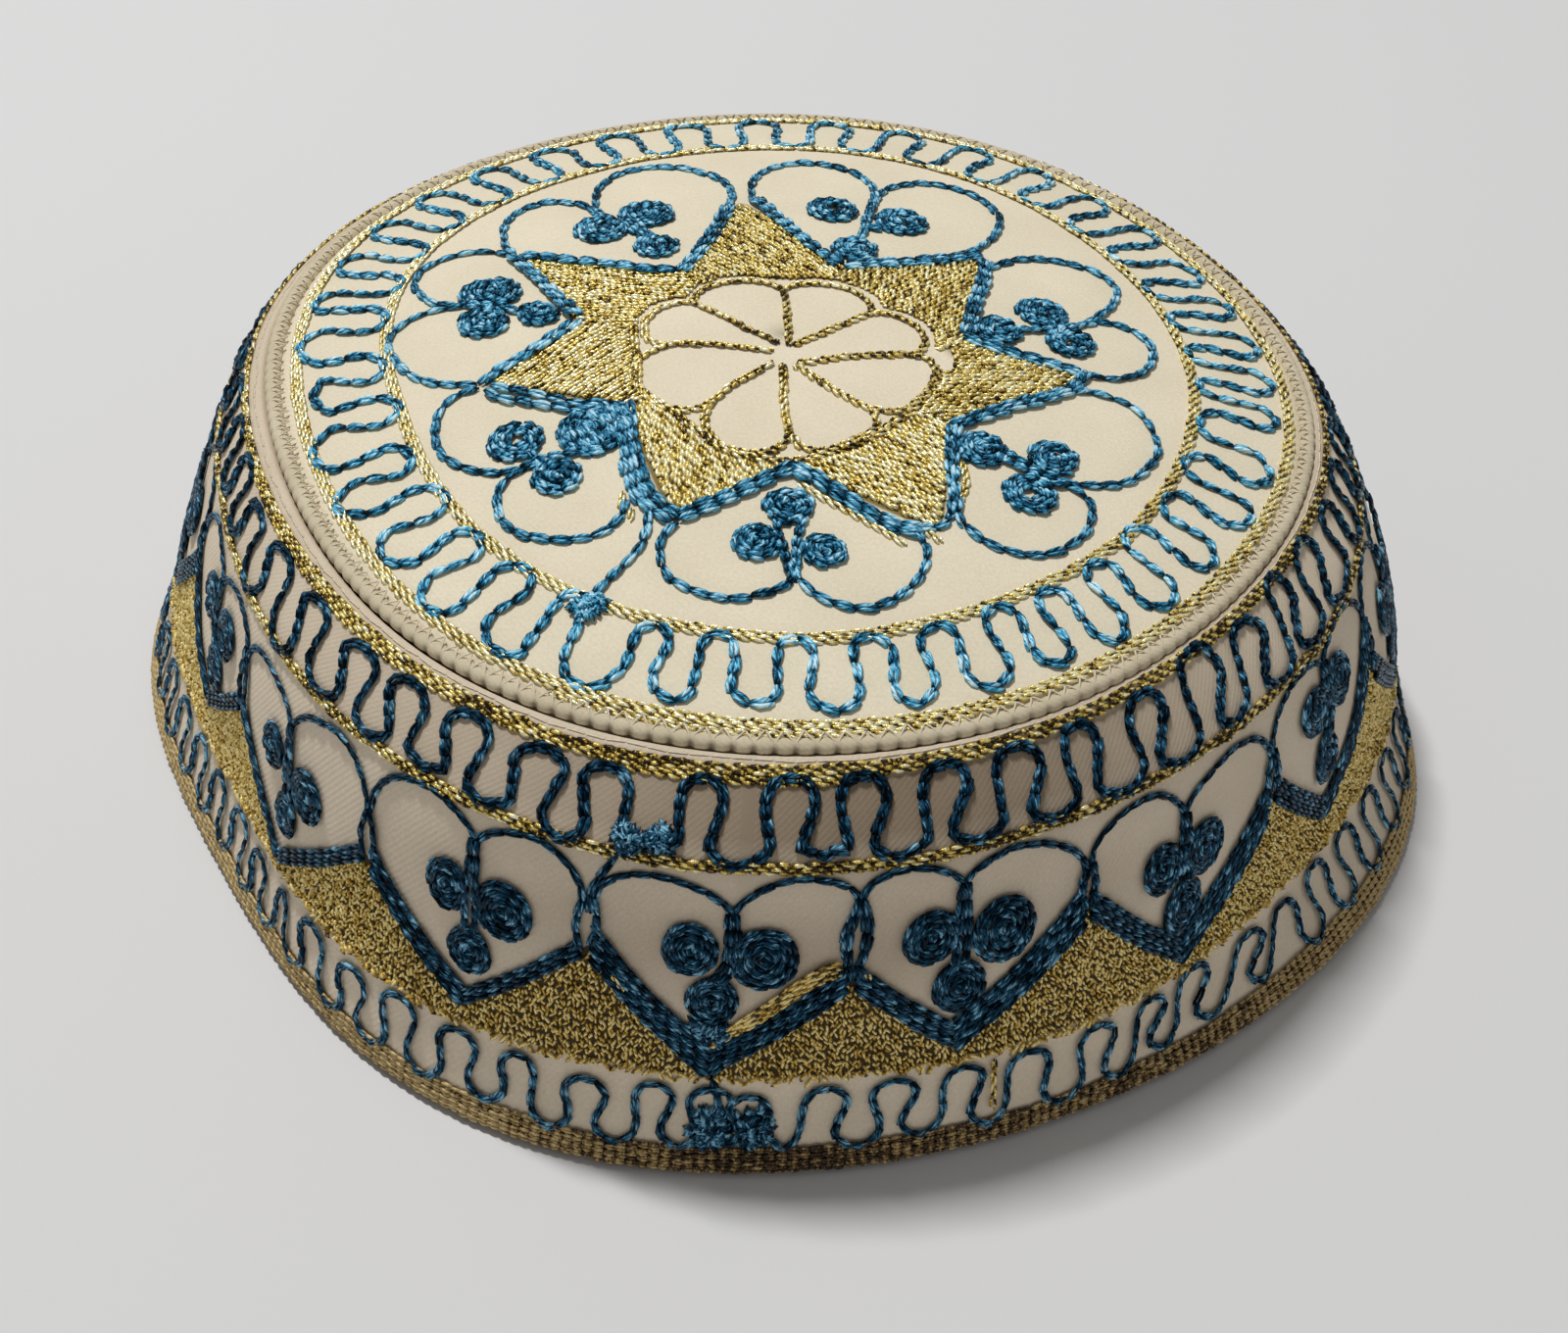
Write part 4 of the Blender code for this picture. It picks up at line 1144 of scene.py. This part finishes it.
def cut_rows(middle, ahead, reach, gap, wanted):
    """Rows side by side along a direction, cut to the stretches that are wanted."""
    ahead = unit(np.array(ahead, float))
    across = np.array((-ahead[1], ahead[0]))
    run = np.arange(-reach, reach, 0.25)
    lines = []
    for shift in np.arange(-reach, reach, gap):
        points = np.array(middle) + run[:, None] * ahead + (shift + rng.normal(0, 0.06)) * across
        edges = np.flatnonzero(np.diff(np.concatenate([[0], wanted(points).astype(int), [0]])))
        for first, last in zip(edges[::2], edges[1::2]):
            if last - first > 6:
                lines.append(points[[first, (first + last) // 2, last - 1]])
    return lines


STAR_ROW = 0.92        # between the rows of the star's gold field


def star_lines():
    """Rows of the star's gold field: in each point they run out towards its tip."""
    lines = []
    for place in range(1, len(STAR), 2):
        before, tip, after = STAR[place - 1], STAR[place], STAR[(place + 1) % len(STAR)]
        sector = [FLOWER_MIDDLE, before, tip, after]
        foot = np.add(before, after) / 2
        lines += cut_rows(foot, np.subtract(tip, foot), 30, STAR_ROW,
                          lambda points: inside(sector, points) & (star_depth(points) > 0.1))
    return lines


def zigzag(degrees):
    """The share of the band where the zigzag runs, at each angle."""
    turns = np.array([heart[part] for heart in HEARTS for part in ("left_fork", "tip", "right_fork")])
    return np.interp(degrees, turns[:, 0], turns[:, 1], period=360)


TRIANGLE_FOOT = 0.79   # the share of the band where the gold triangles end


def triangle_depth(points):
    """How deep each place on the side lies inside the gold triangles, in mm."""
    return np.minimum(points[:, 1] - zigzag(points[:, 0]), TRIANGLE_FOOT - points[:, 1]) * SIDE["scale"][1]


def triangle_stitches():
    """Places and leans of the short stitches that fill the triangles."""
    points, leans = scatter((-180, 0.40), (180, TRIANGLE_FOOT), 0.365, 0.0153)
    wanted = (points[:, 1] - zigzag(points[:, 0])) * SIDE["scale"][1] > 1.5
    return points[wanted], leans[wanted]


def base_strokes():
    """The longer ragged strokes along the foot of the gold triangles."""
    angles = np.arange(-180, 180, 0.62)
    return np.stack([angles + rng.uniform(-0.2, 0.2, len(angles)),
                     0.788 + rng.uniform(-0.006, 0.008, len(angles))], 1)


def level_line(table, step=3.0):
    """A closed line round the side's chart, from a table of angle and share."""
    angles = np.arange(-180, 180 + step, step)
    table = np.array(table)
    return np.stack([angles, np.interp(angles, table[:, 0], table[:, 1], period=360)], 1)


def ring_line(table):
    """A closed ring on the crown's chart, from a table of angle and radius."""
    angles, radii = level_line(table).T
    turn = np.radians(angles)
    return np.stack([radii * np.sin(turn), -radii * np.cos(turn)], 1)


# The crown's gold rings, as angle and radius. Then the side's gold rows, as angle and share of the band.
INNER_RING = ((-100, 58.8), (-75, 58.3), (-45, 59.2), (-24, 59.4), (-10, 59.4), (8, 59.6), (22, 59.1),
    (33, 59.0), (45, 59.5), (55, 59.9), (66, 59.4), (80, 58.7), (100, 58.2), (140, 58.6))
OUTER_RING = ((-100, 72.0), (-60, 72.4), (-20, 72.6), (20, 72.8), (60, 72.8), (90, 72.3), (150, 72.1))
SEAM_LINE = ((-60, 0.018), (0, 0.011), (60, 0.001))
UNDER_LINE = ((-60, 0.262), (-45, 0.25), (-30, 0.238), (0, 0.238), (30, 0.24), (50, 0.238), (65, 0.25))


# The pieces.
def keep(piece, slot, *nodes):
    """Fixes a piece to the cap, in place of the plain solids named. Its slot is not used."""
    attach(piece, "root")
    if nodes:
        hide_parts(*nodes)


# The crown cloth's turned in edge, under the piping: share of the seam and lift in mm.
TURNED_EDGE = ((0.08, -0.22), (0.18, -0.45), (0.30, -0.95), (0.42, -1.6))


def build_crown_cloth():
    """The crown's cloth, thinned at its edge and turned in under the piping."""
    around, rings = 260, 40
    turn = np.arange(around) * math.tau / around
    share = np.linspace(0, 1, rings)[:, None] ** 0.8
    share[0] = 0.002
    chart = np.stack([CHART_EDGE * share * np.sin(turn), -CHART_EDGE * share * np.cos(turn)], -1)
    outer = crown_place(chart)
    thick = CLOTH * (0.25 + 0.75 * np.clip((1 - share) * 40, 0, 1)) * np.ones(around)
    for part, lift in TURNED_EDGE:
        outer = np.concatenate([outer, seam_place(np.degrees(turn), part, lift)[None]])
        chart = np.concatenate([chart, chart[-1:] * 1.01])
        thick = np.concatenate([thick, thick[-1:]])
    inner = outer - thick[..., None] * np.array([0, 0, 1.0])
    marks = {"bed": star_depth(chart.reshape(-1, 2)), "painted_shade": np.zeros(len(outer) * around)}
    piece = shell("crown_cloth", outer, inner, crown_cotton, chart, marks)
    keep(piece, "crown_cotton", "crown_panel")


# The side cloth's turned in top edge, a flat fold beside the piping: share of the seam and lift in mm.
FOLD = ((0.50, -1.6), (0.56, -0.9), (0.62, -0.3), (0.68, 0.0), (0.76, 0.1), (0.86, 0.08), (0.95, -0.02))


def build_side_cloth():
    """The side's cloth, with its flat fold beside the piping."""
    around, tall = 320, 31
    degrees = np.arange(around) * 360 / around
    share = np.linspace(0.004, 0.965, tall)
    chart = np.stack(np.broadcast_arrays(degrees[None], share[:, None]), -1)
    outer, away = lie_on(SIDE, chart)
    fold = np.stack([seam_place(degrees, part, lift) for part, lift in FOLD])
    inner = np.concatenate([fold - (0, 0, CLOTH * 0.8), outer - away * CLOTH])
    above = np.array([part for part, _ in FOLD])[:, None] * 0.1 - 0.1
    chart = np.concatenate([np.stack(np.broadcast_arrays(degrees[None], above), -1), chart])
    places = chart.reshape(-1, 2)
    turned, down = (places[:, 0] + 180) % 360 - 180, places[:, 1]
    # painted shade, darker and browner: below the seam in front, where the shoulder faces away from the lamp,
    # among the hearts, and on the fold beside the piping
    painted_shade = 0.88 * np.clip(down * 60, 0, 1) * fading(turned, 13, np.where(turned < 13, 48, 38))
    painted_shade *= fading(np.maximum(down - 0.15, 0), 0, 0.09)
    painted_shade += 0.42 * fading(turned, 5, 36) * fading(down, 0.46, 0.13)
    painted_shade += (0.2 + 0.2 * fading(turned, 60, 35)) * (down < 0)
    marks = {"bed": triangle_depth(places), "painted_shade": painted_shade}
    outer = np.concatenate([fold, outer])
    piece = shell("side_cloth", outer, inner, side_cotton, chart * SIDE["scale"], marks)
    keep(piece, "band_cotton", "side_band")


HOLE_COUNT = 188
HOLE_COLUMNS = 7       # columns of the piping's mesh for each needle hole
HOLE_START = -0.47     # where the first hole is, in degrees
PIPING_SHARE = 0.40    # where its middle lies between the crown's edge and the side
PIPING_LIFT = -0.3
PIPING_HALF_WIDTH = 1.2
PIPING_HALF_HEIGHT = 1.05
PIPING_LENGTH = 480    # round the cap and round the cord, for the weave on it
PIPING_GIRTH = 8
SEAM_WIDTH = 5.1       # from the crown's edge to the top of the side
SEAM_THREAD = 0.14     # half the thickness of the thread over it


def build_piping():
    """The corded seam: round, pinched at each needle hole and finely creased between them."""
    around, sides = HOLE_COUNT * HOLE_COLUMNS, 16
    degrees = np.arange(around) * 360 / around
    centre = seam_place(degrees, PIPING_SHARE, PIPING_LIFT)
    turn = np.radians(degrees)
    out = np.stack([np.sin(turn), -np.cos(turn), np.zeros_like(turn)], -1)
    phase = (degrees - HOLE_START) / 360 * HOLE_COUNT * math.tau
    pinch = np.abs(np.cos(phase / 2)) ** 6
    firm = 0.4 + 0.6 * fading((degrees + 180) % 360 - 180, -8, 34)
    crease = np.abs(np.cos(phase * 1.5 + 0.6 * np.sin(phase * 0.37))) ** 3
    grid, hole_shade = [], []
    for place in np.arange(sides) * math.tau / sides:
        outward = max(0.0, math.cos(place + math.radians(12)))
        size = 1 - pinch * firm * (0.08 + 0.26 * outward ** 3) - 0.04 * crease + rng.normal(0, 0.016, around)
        # painted shade in the needle holes and the pinches at them, stronger in front
        hole_shade.append(firm * pinch ** (1 + 2 * (1 - outward)) * (0.1 + 0.75 * outward ** 2))
        grid.append(centre + out * (PIPING_HALF_WIDTH * math.cos(place) * size)[:, None]
                    + np.array([0, 0, 1.0]) * (PIPING_HALF_HEIGHT * math.sin(place) * size)[:, None])
    row, col = np.meshgrid(np.arange(sides), np.arange(around), indexing="ij")
    long_place = np.stack([col, col + 1, col + 1, col], -1).reshape(-1) / around * PIPING_LENGTH
    round_place = np.stack([row, row, row + 1, row + 1], -1).reshape(-1) / sides * PIPING_GIRTH
    faces = quads(sides, around, sides)
    piece = make_mesh("seam_piping_cloth", np.concatenate(grid), faces.ravel(), np.full(len(faces), 4),
                      piping_cotton, np.stack([long_place, round_place], -1), {"painted_shade": np.stack(hole_shade)})
    keep(piece, "piping_cotton", "seam_piping")


def over_piping(holes, tops, heads):
    """Fine strands that lie on the piping, each from a hole in its outer side over to the crown's edge."""
    part = np.array([0, 0.2, 0.55, 0.9, 1.0])
    degrees = holes[:, None] + (tops - holes)[:, None] * part
    share = 0.52 + (heads - 0.52)[:, None] * part
    beside = (share - PIPING_SHARE) * SEAM_WIDTH / PIPING_HALF_WIDTH
    lift = PIPING_LIFT + PIPING_HALF_HEIGHT * np.sqrt(np.clip(1 - beside ** 2, 0, 1))
    lift = np.maximum(lift, 0.42) + np.array([-0.25, 0.02, 0.06, 0.06, -0.1])
    spine = seam_place(degrees, share, lift)
    return laid(spine, spine[:, -1] - spine[:, 0], part, SEAM_THREAD * np.array([0, 0.8, 1, 1, 0]))


def build_seam_stitches():
    """The fine cream thread that holds the piping: a zigzag from its holes over the crown's edge, and a
    straight seam beside it."""
    step = 360 / HOLE_COUNT
    holes = HOLE_START + np.arange(HOLE_COUNT) * 360 / HOLE_COUNT
    tops = holes + (0.5 + rng.uniform(-0.1, 0.1, HOLE_COUNT)) * step
    heads = rng.uniform(0.12, 0.19, HOLE_COUNT)
    starts = seam_place(holes, 0.79 + rng.uniform(-0.03, 0.03, HOLE_COUNT), 0.1)
    ahead = np.roll(starts, -1, axis=0) - starts
    part = np.array([0, 0.08, 0.5, 0.92, 1.0])
    straight = starts[:, None] + ahead[:, None] * part[None, :, None]
    straight[:, :, 2] += 0.05 * np.sin(part * math.pi)
    strands = gather([over_piping(holes, tops, heads), over_piping(holes + step, tops, heads),
                      laid(straight, ahead, part, SEAM_THREAD * np.array([0, 1, 1, 1, 0]))])
    keep(threads("seam_stitches_cream", strands, 4, cream_thread), "piping_cotton")


# The rim binding's profile from its upper edge down and under: depth under the cap's face and share.
RIM_FACE = ((0.9, 0.925), (0.25, 0.933), (0.0, 0.950), (-0.1, 0.970), (0.3, 0.985), (1.2, 0.9945),
            (2.4, 0.999))
RIM_BACK = ((3.0, 0.925), (3.2, 0.933), (3.4, 0.950), (3.6, 0.966), (3.8, 0.980), (4.0, 0.992),
            (4.0, 0.9985))


def build_rim():
    """The folded edge under the rim's gold rows, flat where it stands on the table."""
    around = 320
    degrees = np.arange(around) * 360 / around

    def ring(depth, share):
        here, away = lie_on(SIDE, np.stack([degrees, np.full_like(degrees, share)], -1))
        return here - away * depth

    outer = np.stack([ring(*row) for row in RIM_FACE])
    inner = np.stack([ring(*row) for row in RIM_BACK])
    for grid in (outer, inner):
        grid[..., 2] = np.maximum(grid[..., 2], 0.05)
    chart = np.stack(np.broadcast_arrays(degrees[None] * 1.6, np.arange(len(RIM_FACE))[:, None] * 1.3), -1)
    tone = {"tone": np.full(outer.shape[:2], 0.15)}
    piece = shell("rim_binding_cloth", outer, inner, shaded_rim_gilt, chart, tone)
    keep(piece, "rim_gold_thread", "rim_binding")


build_crown_cloth()
build_side_cloth()
build_piping()
build_seam_stitches()
build_rim()


def sew(name, chart, sides, finish, *runs):
    """One piece of chain stitch. A run is its lines, the length and width of a link, and its options."""
    strands = gather([chain(chart, lines, link, width, **options) for lines, link, width, options in runs])
    keep(threads(name, strands, sides, finish), chart["slot"])


def crown_teal():
    """The crown's meander, hearts and trefoils."""
    fill = cut_rows((-25, -24), (0.6, -1), 10, 1.1, lambda points: depth_inside(TEAL_CORNER, points) > 0.5)
    lobes = [lobe for heart in CROWN_HEARTS.values() for lobe in heart["lobes"]] + list(CROWN_TAILS)
    sew("crown_meander_teal", CROWN, 5, teal_silk, (crown_meander(), 2.9, 1.32, {"bright": 0.55}))
    sew("crown_hearts_teal", CROWN, 5, less_glint_heart_silk, (lobes, 2.9, 1.22, {}),
        (crown_vee_lines() + fill, 2.9, 1.32, {"lift": 0.25, "bright": 0.57}))
    sew("crown_trefoils_teal", CROWN, 4, less_glint_heart_silk,
        (crown_blob_lines(), 2.0, 1.4, {"shape": SHORT_STRAND, "lift": 0.1, "bright": 0.49}))


def side_teal():
    """The side's meanders, hearts and trefoils, in thread whose links run into each other."""
    silk = {"shape": SMOOTH_STRAND, "skew": -0.12, "depth": 0.4, "wobble": 0.03, "uneven": 0.12}
    # the upper meander's lower brightness is painted shade on the shoulder under the seam; the lower one is
    # painted lighter
    sew("side_upper_meander_teal", SIDE, 4, shaded_side_silk, (upper_meander(), 2.0, 1.5, {**silk, "bright": 0.4}))
    sew("side_lower_meander_teal", SIDE, 4, shaded_side_silk,
        (lower_meander(), 2.3, 1.15, {**silk, "lift": 0.2, "bright": 0.6}))
    sew("side_hearts_teal", SIDE, 4, shaded_side_silk, (side_lobe_lines(), 2.5, 1.08, silk),
        (side_heart_lines(), 2.5, 1.25, {**silk, "lift": 0.2}))
    sew("side_trefoils_teal", SIDE, 4, shaded_side_silk, (side_blob_lines(), 2.1, 1.4, {**silk, "lift": 0.1}))


def crown_gold(foil):
    """The crown's two rings, the flower and the star's field."""
    shine = {**foil, "bright": 0.84}
    short_arc = [mark(angle, 74.05) for angle in range(-21, 24, 3)]
    sew("crown_rings_gold", CROWN, 4, gilt_thread,
        ([ring_line(INNER_RING), ring_line(OUTER_RING)], 1.8, 0.98, {**shine, "shifts": (-0.425, 0.425)}),
        ([short_arc, *CROWN_GOLD_ENDS], 1.8, 0.98, shine))
    sew("crown_flower_gold", CROWN, 4, gilt_thread, (PETAL_RIBS + PETAL_ENDS + PETAL_RINGS, 1.6, 1.15, foil))
    sew("crown_star_gold", CROWN, 4, gilt_thread,
        (star_lines(), 1.35, 1.2, {"shape": SHORT_STRAND, "lift": -0.08, "wobble": 0.1, "skew": 0.3,
                                   "depth": 0.4, "uneven": 0.26, "bright": 0.54, "stagger": 0.5}))


def side_gold(foil):
    """The side's rows, bars and filled triangles."""
    dull = {**foil, "bright": 0.4}
    loose = [[(angle, 0.034) for angle in np.arange(-14, 9, 2.0)],
             [(angle, -0.004) for angle in np.arange(-96, -18, 3.0)]]
    sew("side_rows_gold", SIDE, 4, gilt_thread,
        ([level_line(SEAM_LINE)], 1.8, 1.02, {**dull, "shifts": (-0.46, 0.46)}),
        ([level_line(UNDER_LINE)], 1.8, 1.02, {**dull, "shifts": (-0.35, 0.35)}), (loose, 1.8, 1.02, dull))
    sew("side_bars_gold", SIDE, 4, shade_gilt,
        (SIDE_GOLD_ENDS, 1.9, 0.82, {**foil, "lift": 0.4, "bright": 0.7}))
    triangles, leans = triangle_stitches()
    strokes = base_strokes()
    stroke_leans = 90 + rng.choice((-1, 1), len(strokes)) * 42 + rng.normal(0, 12, len(strokes))
    strands = gather([field(SIDE, triangles, leans, long=1.25, thick=0.29),
                      field(SIDE, strokes, stroke_leans, long=2.1, thick=0.34, lift=0.25)])
    keep(threads("side_triangles_gold", strands, 3, shade_gilt), "band_cotton")


# The rim's arcs, with painted shade in front and painted light on the sides and behind: first and last angle
# and the thread's brightness.
RIM_ARCS = ((-50, -28, 0.74), (-28, -18, 0.72), (-18, -12, 0.5), (-12, -6, 0.4), (-6, 12, 0.16),
            (12, 24, 0.3), (24, 42, 0.38), (42, 48, 0.48), (48, 54, 0.58), (54, 60, 0.72), (60, 84, 0.85),
            (84, 310, 1.0))
RIM_ROWS = (0.943, 0.956, 0.969, 0.981)


def rim_gold():
    """The stitches over the rim binding."""
    arcs = []
    for start, stop, bright in RIM_ARCS:
        lines = [[(angle, share) for angle in np.linspace(start, stop, 3 + (stop - start) // 4)]
                 for share in RIM_ROWS]
        arcs.append(chain(SIDE, lines, 1.5, 1.05, SHORT_STRAND, lift=0.1, depth=0.4, uneven=0.15,
                          bright=bright))
    keep(threads("rim_rows_gold", gather(arcs), 4, shaded_rim_gilt), "rim_gold_thread")


crown_teal()
side_teal()
keep(threads("crown_knots_teal", tangle(CROWN, CROWN_KNOTS), 4, teal_silk), "crown_cotton")
keep(threads("side_knots_teal", tangle(SIDE, SIDE_KNOTS), 4, shaded_side_silk), "band_cotton")
# Foil-wound thread: its links are short and flat, and their two strands lie half a link apart.
foil_options = {"shape": SHORT_STRAND, "depth": 0.85, "uneven": 0.28, "stagger": 0.5, "skew": -0.25}
crown_gold(foil_options)
side_gold(foil_options)
rim_gold()

# Floor, light and camera.
# White paper: matt and even, a little grey.
floor_finish, floor_tree, _ = new_finish("pale_paper")
paper = add(floor_tree, "BsdfPrincipled", Base_Color=linear("#D8D8D8"), Roughness=0.9)
add(floor_tree, "OutputMaterial", Surface=paper.outputs[0])
floor_mesh = bpy.data.meshes.new("floor")
floor_mesh.from_pydata([(-4, -3, 0), (4, -3, 0), (4, 6, 0), (-4, 6, 0)], [], [(0, 1, 2, 3)])
floor_mesh.materials.append(floor_finish)
floor = bpy.data.objects.new("floor", floor_mesh)
bpy.context.scene.collection.objects.link(floor)


def soft_light(name, place, target, size, power):
    lamp = bpy.data.lights.new(name, "AREA")
    lamp.shape = "RECTANGLE"
    lamp.size, lamp.size_y = size
    lamp.energy = power
    holder = bpy.data.objects.new(name, lamp)
    holder.location = place
    holder.rotation_euler = (Vector(target) - Vector(place)).to_track_quat("-Z", "Y").to_euler()
    bpy.context.scene.collection.objects.link(holder)


soft_light("small_softbox_behind_left", (-0.36, 0.34, 1.5), (0, 0, 0), (0.09, 0.31), 18.8)
soft_light("low_front_fill", (-0.3, -1.7, 0.26), (0, 0, 0.03), (2.0, 0.4), 3.3)
soft_light("low_right_fill", (1.7, -0.2, 0.26), (0, 0, 0.03), (1.2, 0.4), 1.2)
world = bpy.data.worlds.new("studio")
bpy.context.scene.world = world
world.use_nodes = True
world.node_tree.nodes["Background"].inputs["Color"].default_value = linear("#EFEDEC")
world.node_tree.nodes["Background"].inputs["Strength"].default_value = 0.26

# The camera as it was fitted to the photograph.
FOCAL_PIXELS = 2925
ELEVATION = math.radians(39.27)
ROLL = math.radians(3.13)
AIM = Vector((0.75, 0.2, 6.67)) * MM
DISTANCE = 439.6 * MM
back = Vector((0, -math.cos(ELEVATION), math.sin(ELEVATION)))
right = Vector((1, 0, 0))
upward = back.cross(right)
tilted_right = math.cos(ROLL) * right + math.sin(ROLL) * upward
tilted_up = -math.sin(ROLL) * right + math.cos(ROLL) * upward
lens = bpy.data.cameras.new("photo_camera")
lens.sensor_fit = "HORIZONTAL"
lens.sensor_width = 36
lens.lens = 36 * FOCAL_PIXELS / PHOTO_WIDTH
lens.clip_start = 0.01
lens.clip_end = 20
camera = bpy.data.objects.new("photo_camera", lens)
bpy.context.scene.collection.objects.link(camera)
facing = Matrix((tilted_right, tilted_up, back)).transposed().to_4x4()
camera.matrix_world = Matrix.Translation(AIM + back * DISTANCE) @ facing
bpy.context.scene.camera = camera
bpy.context.scene.view_settings.view_transform = "Standard"
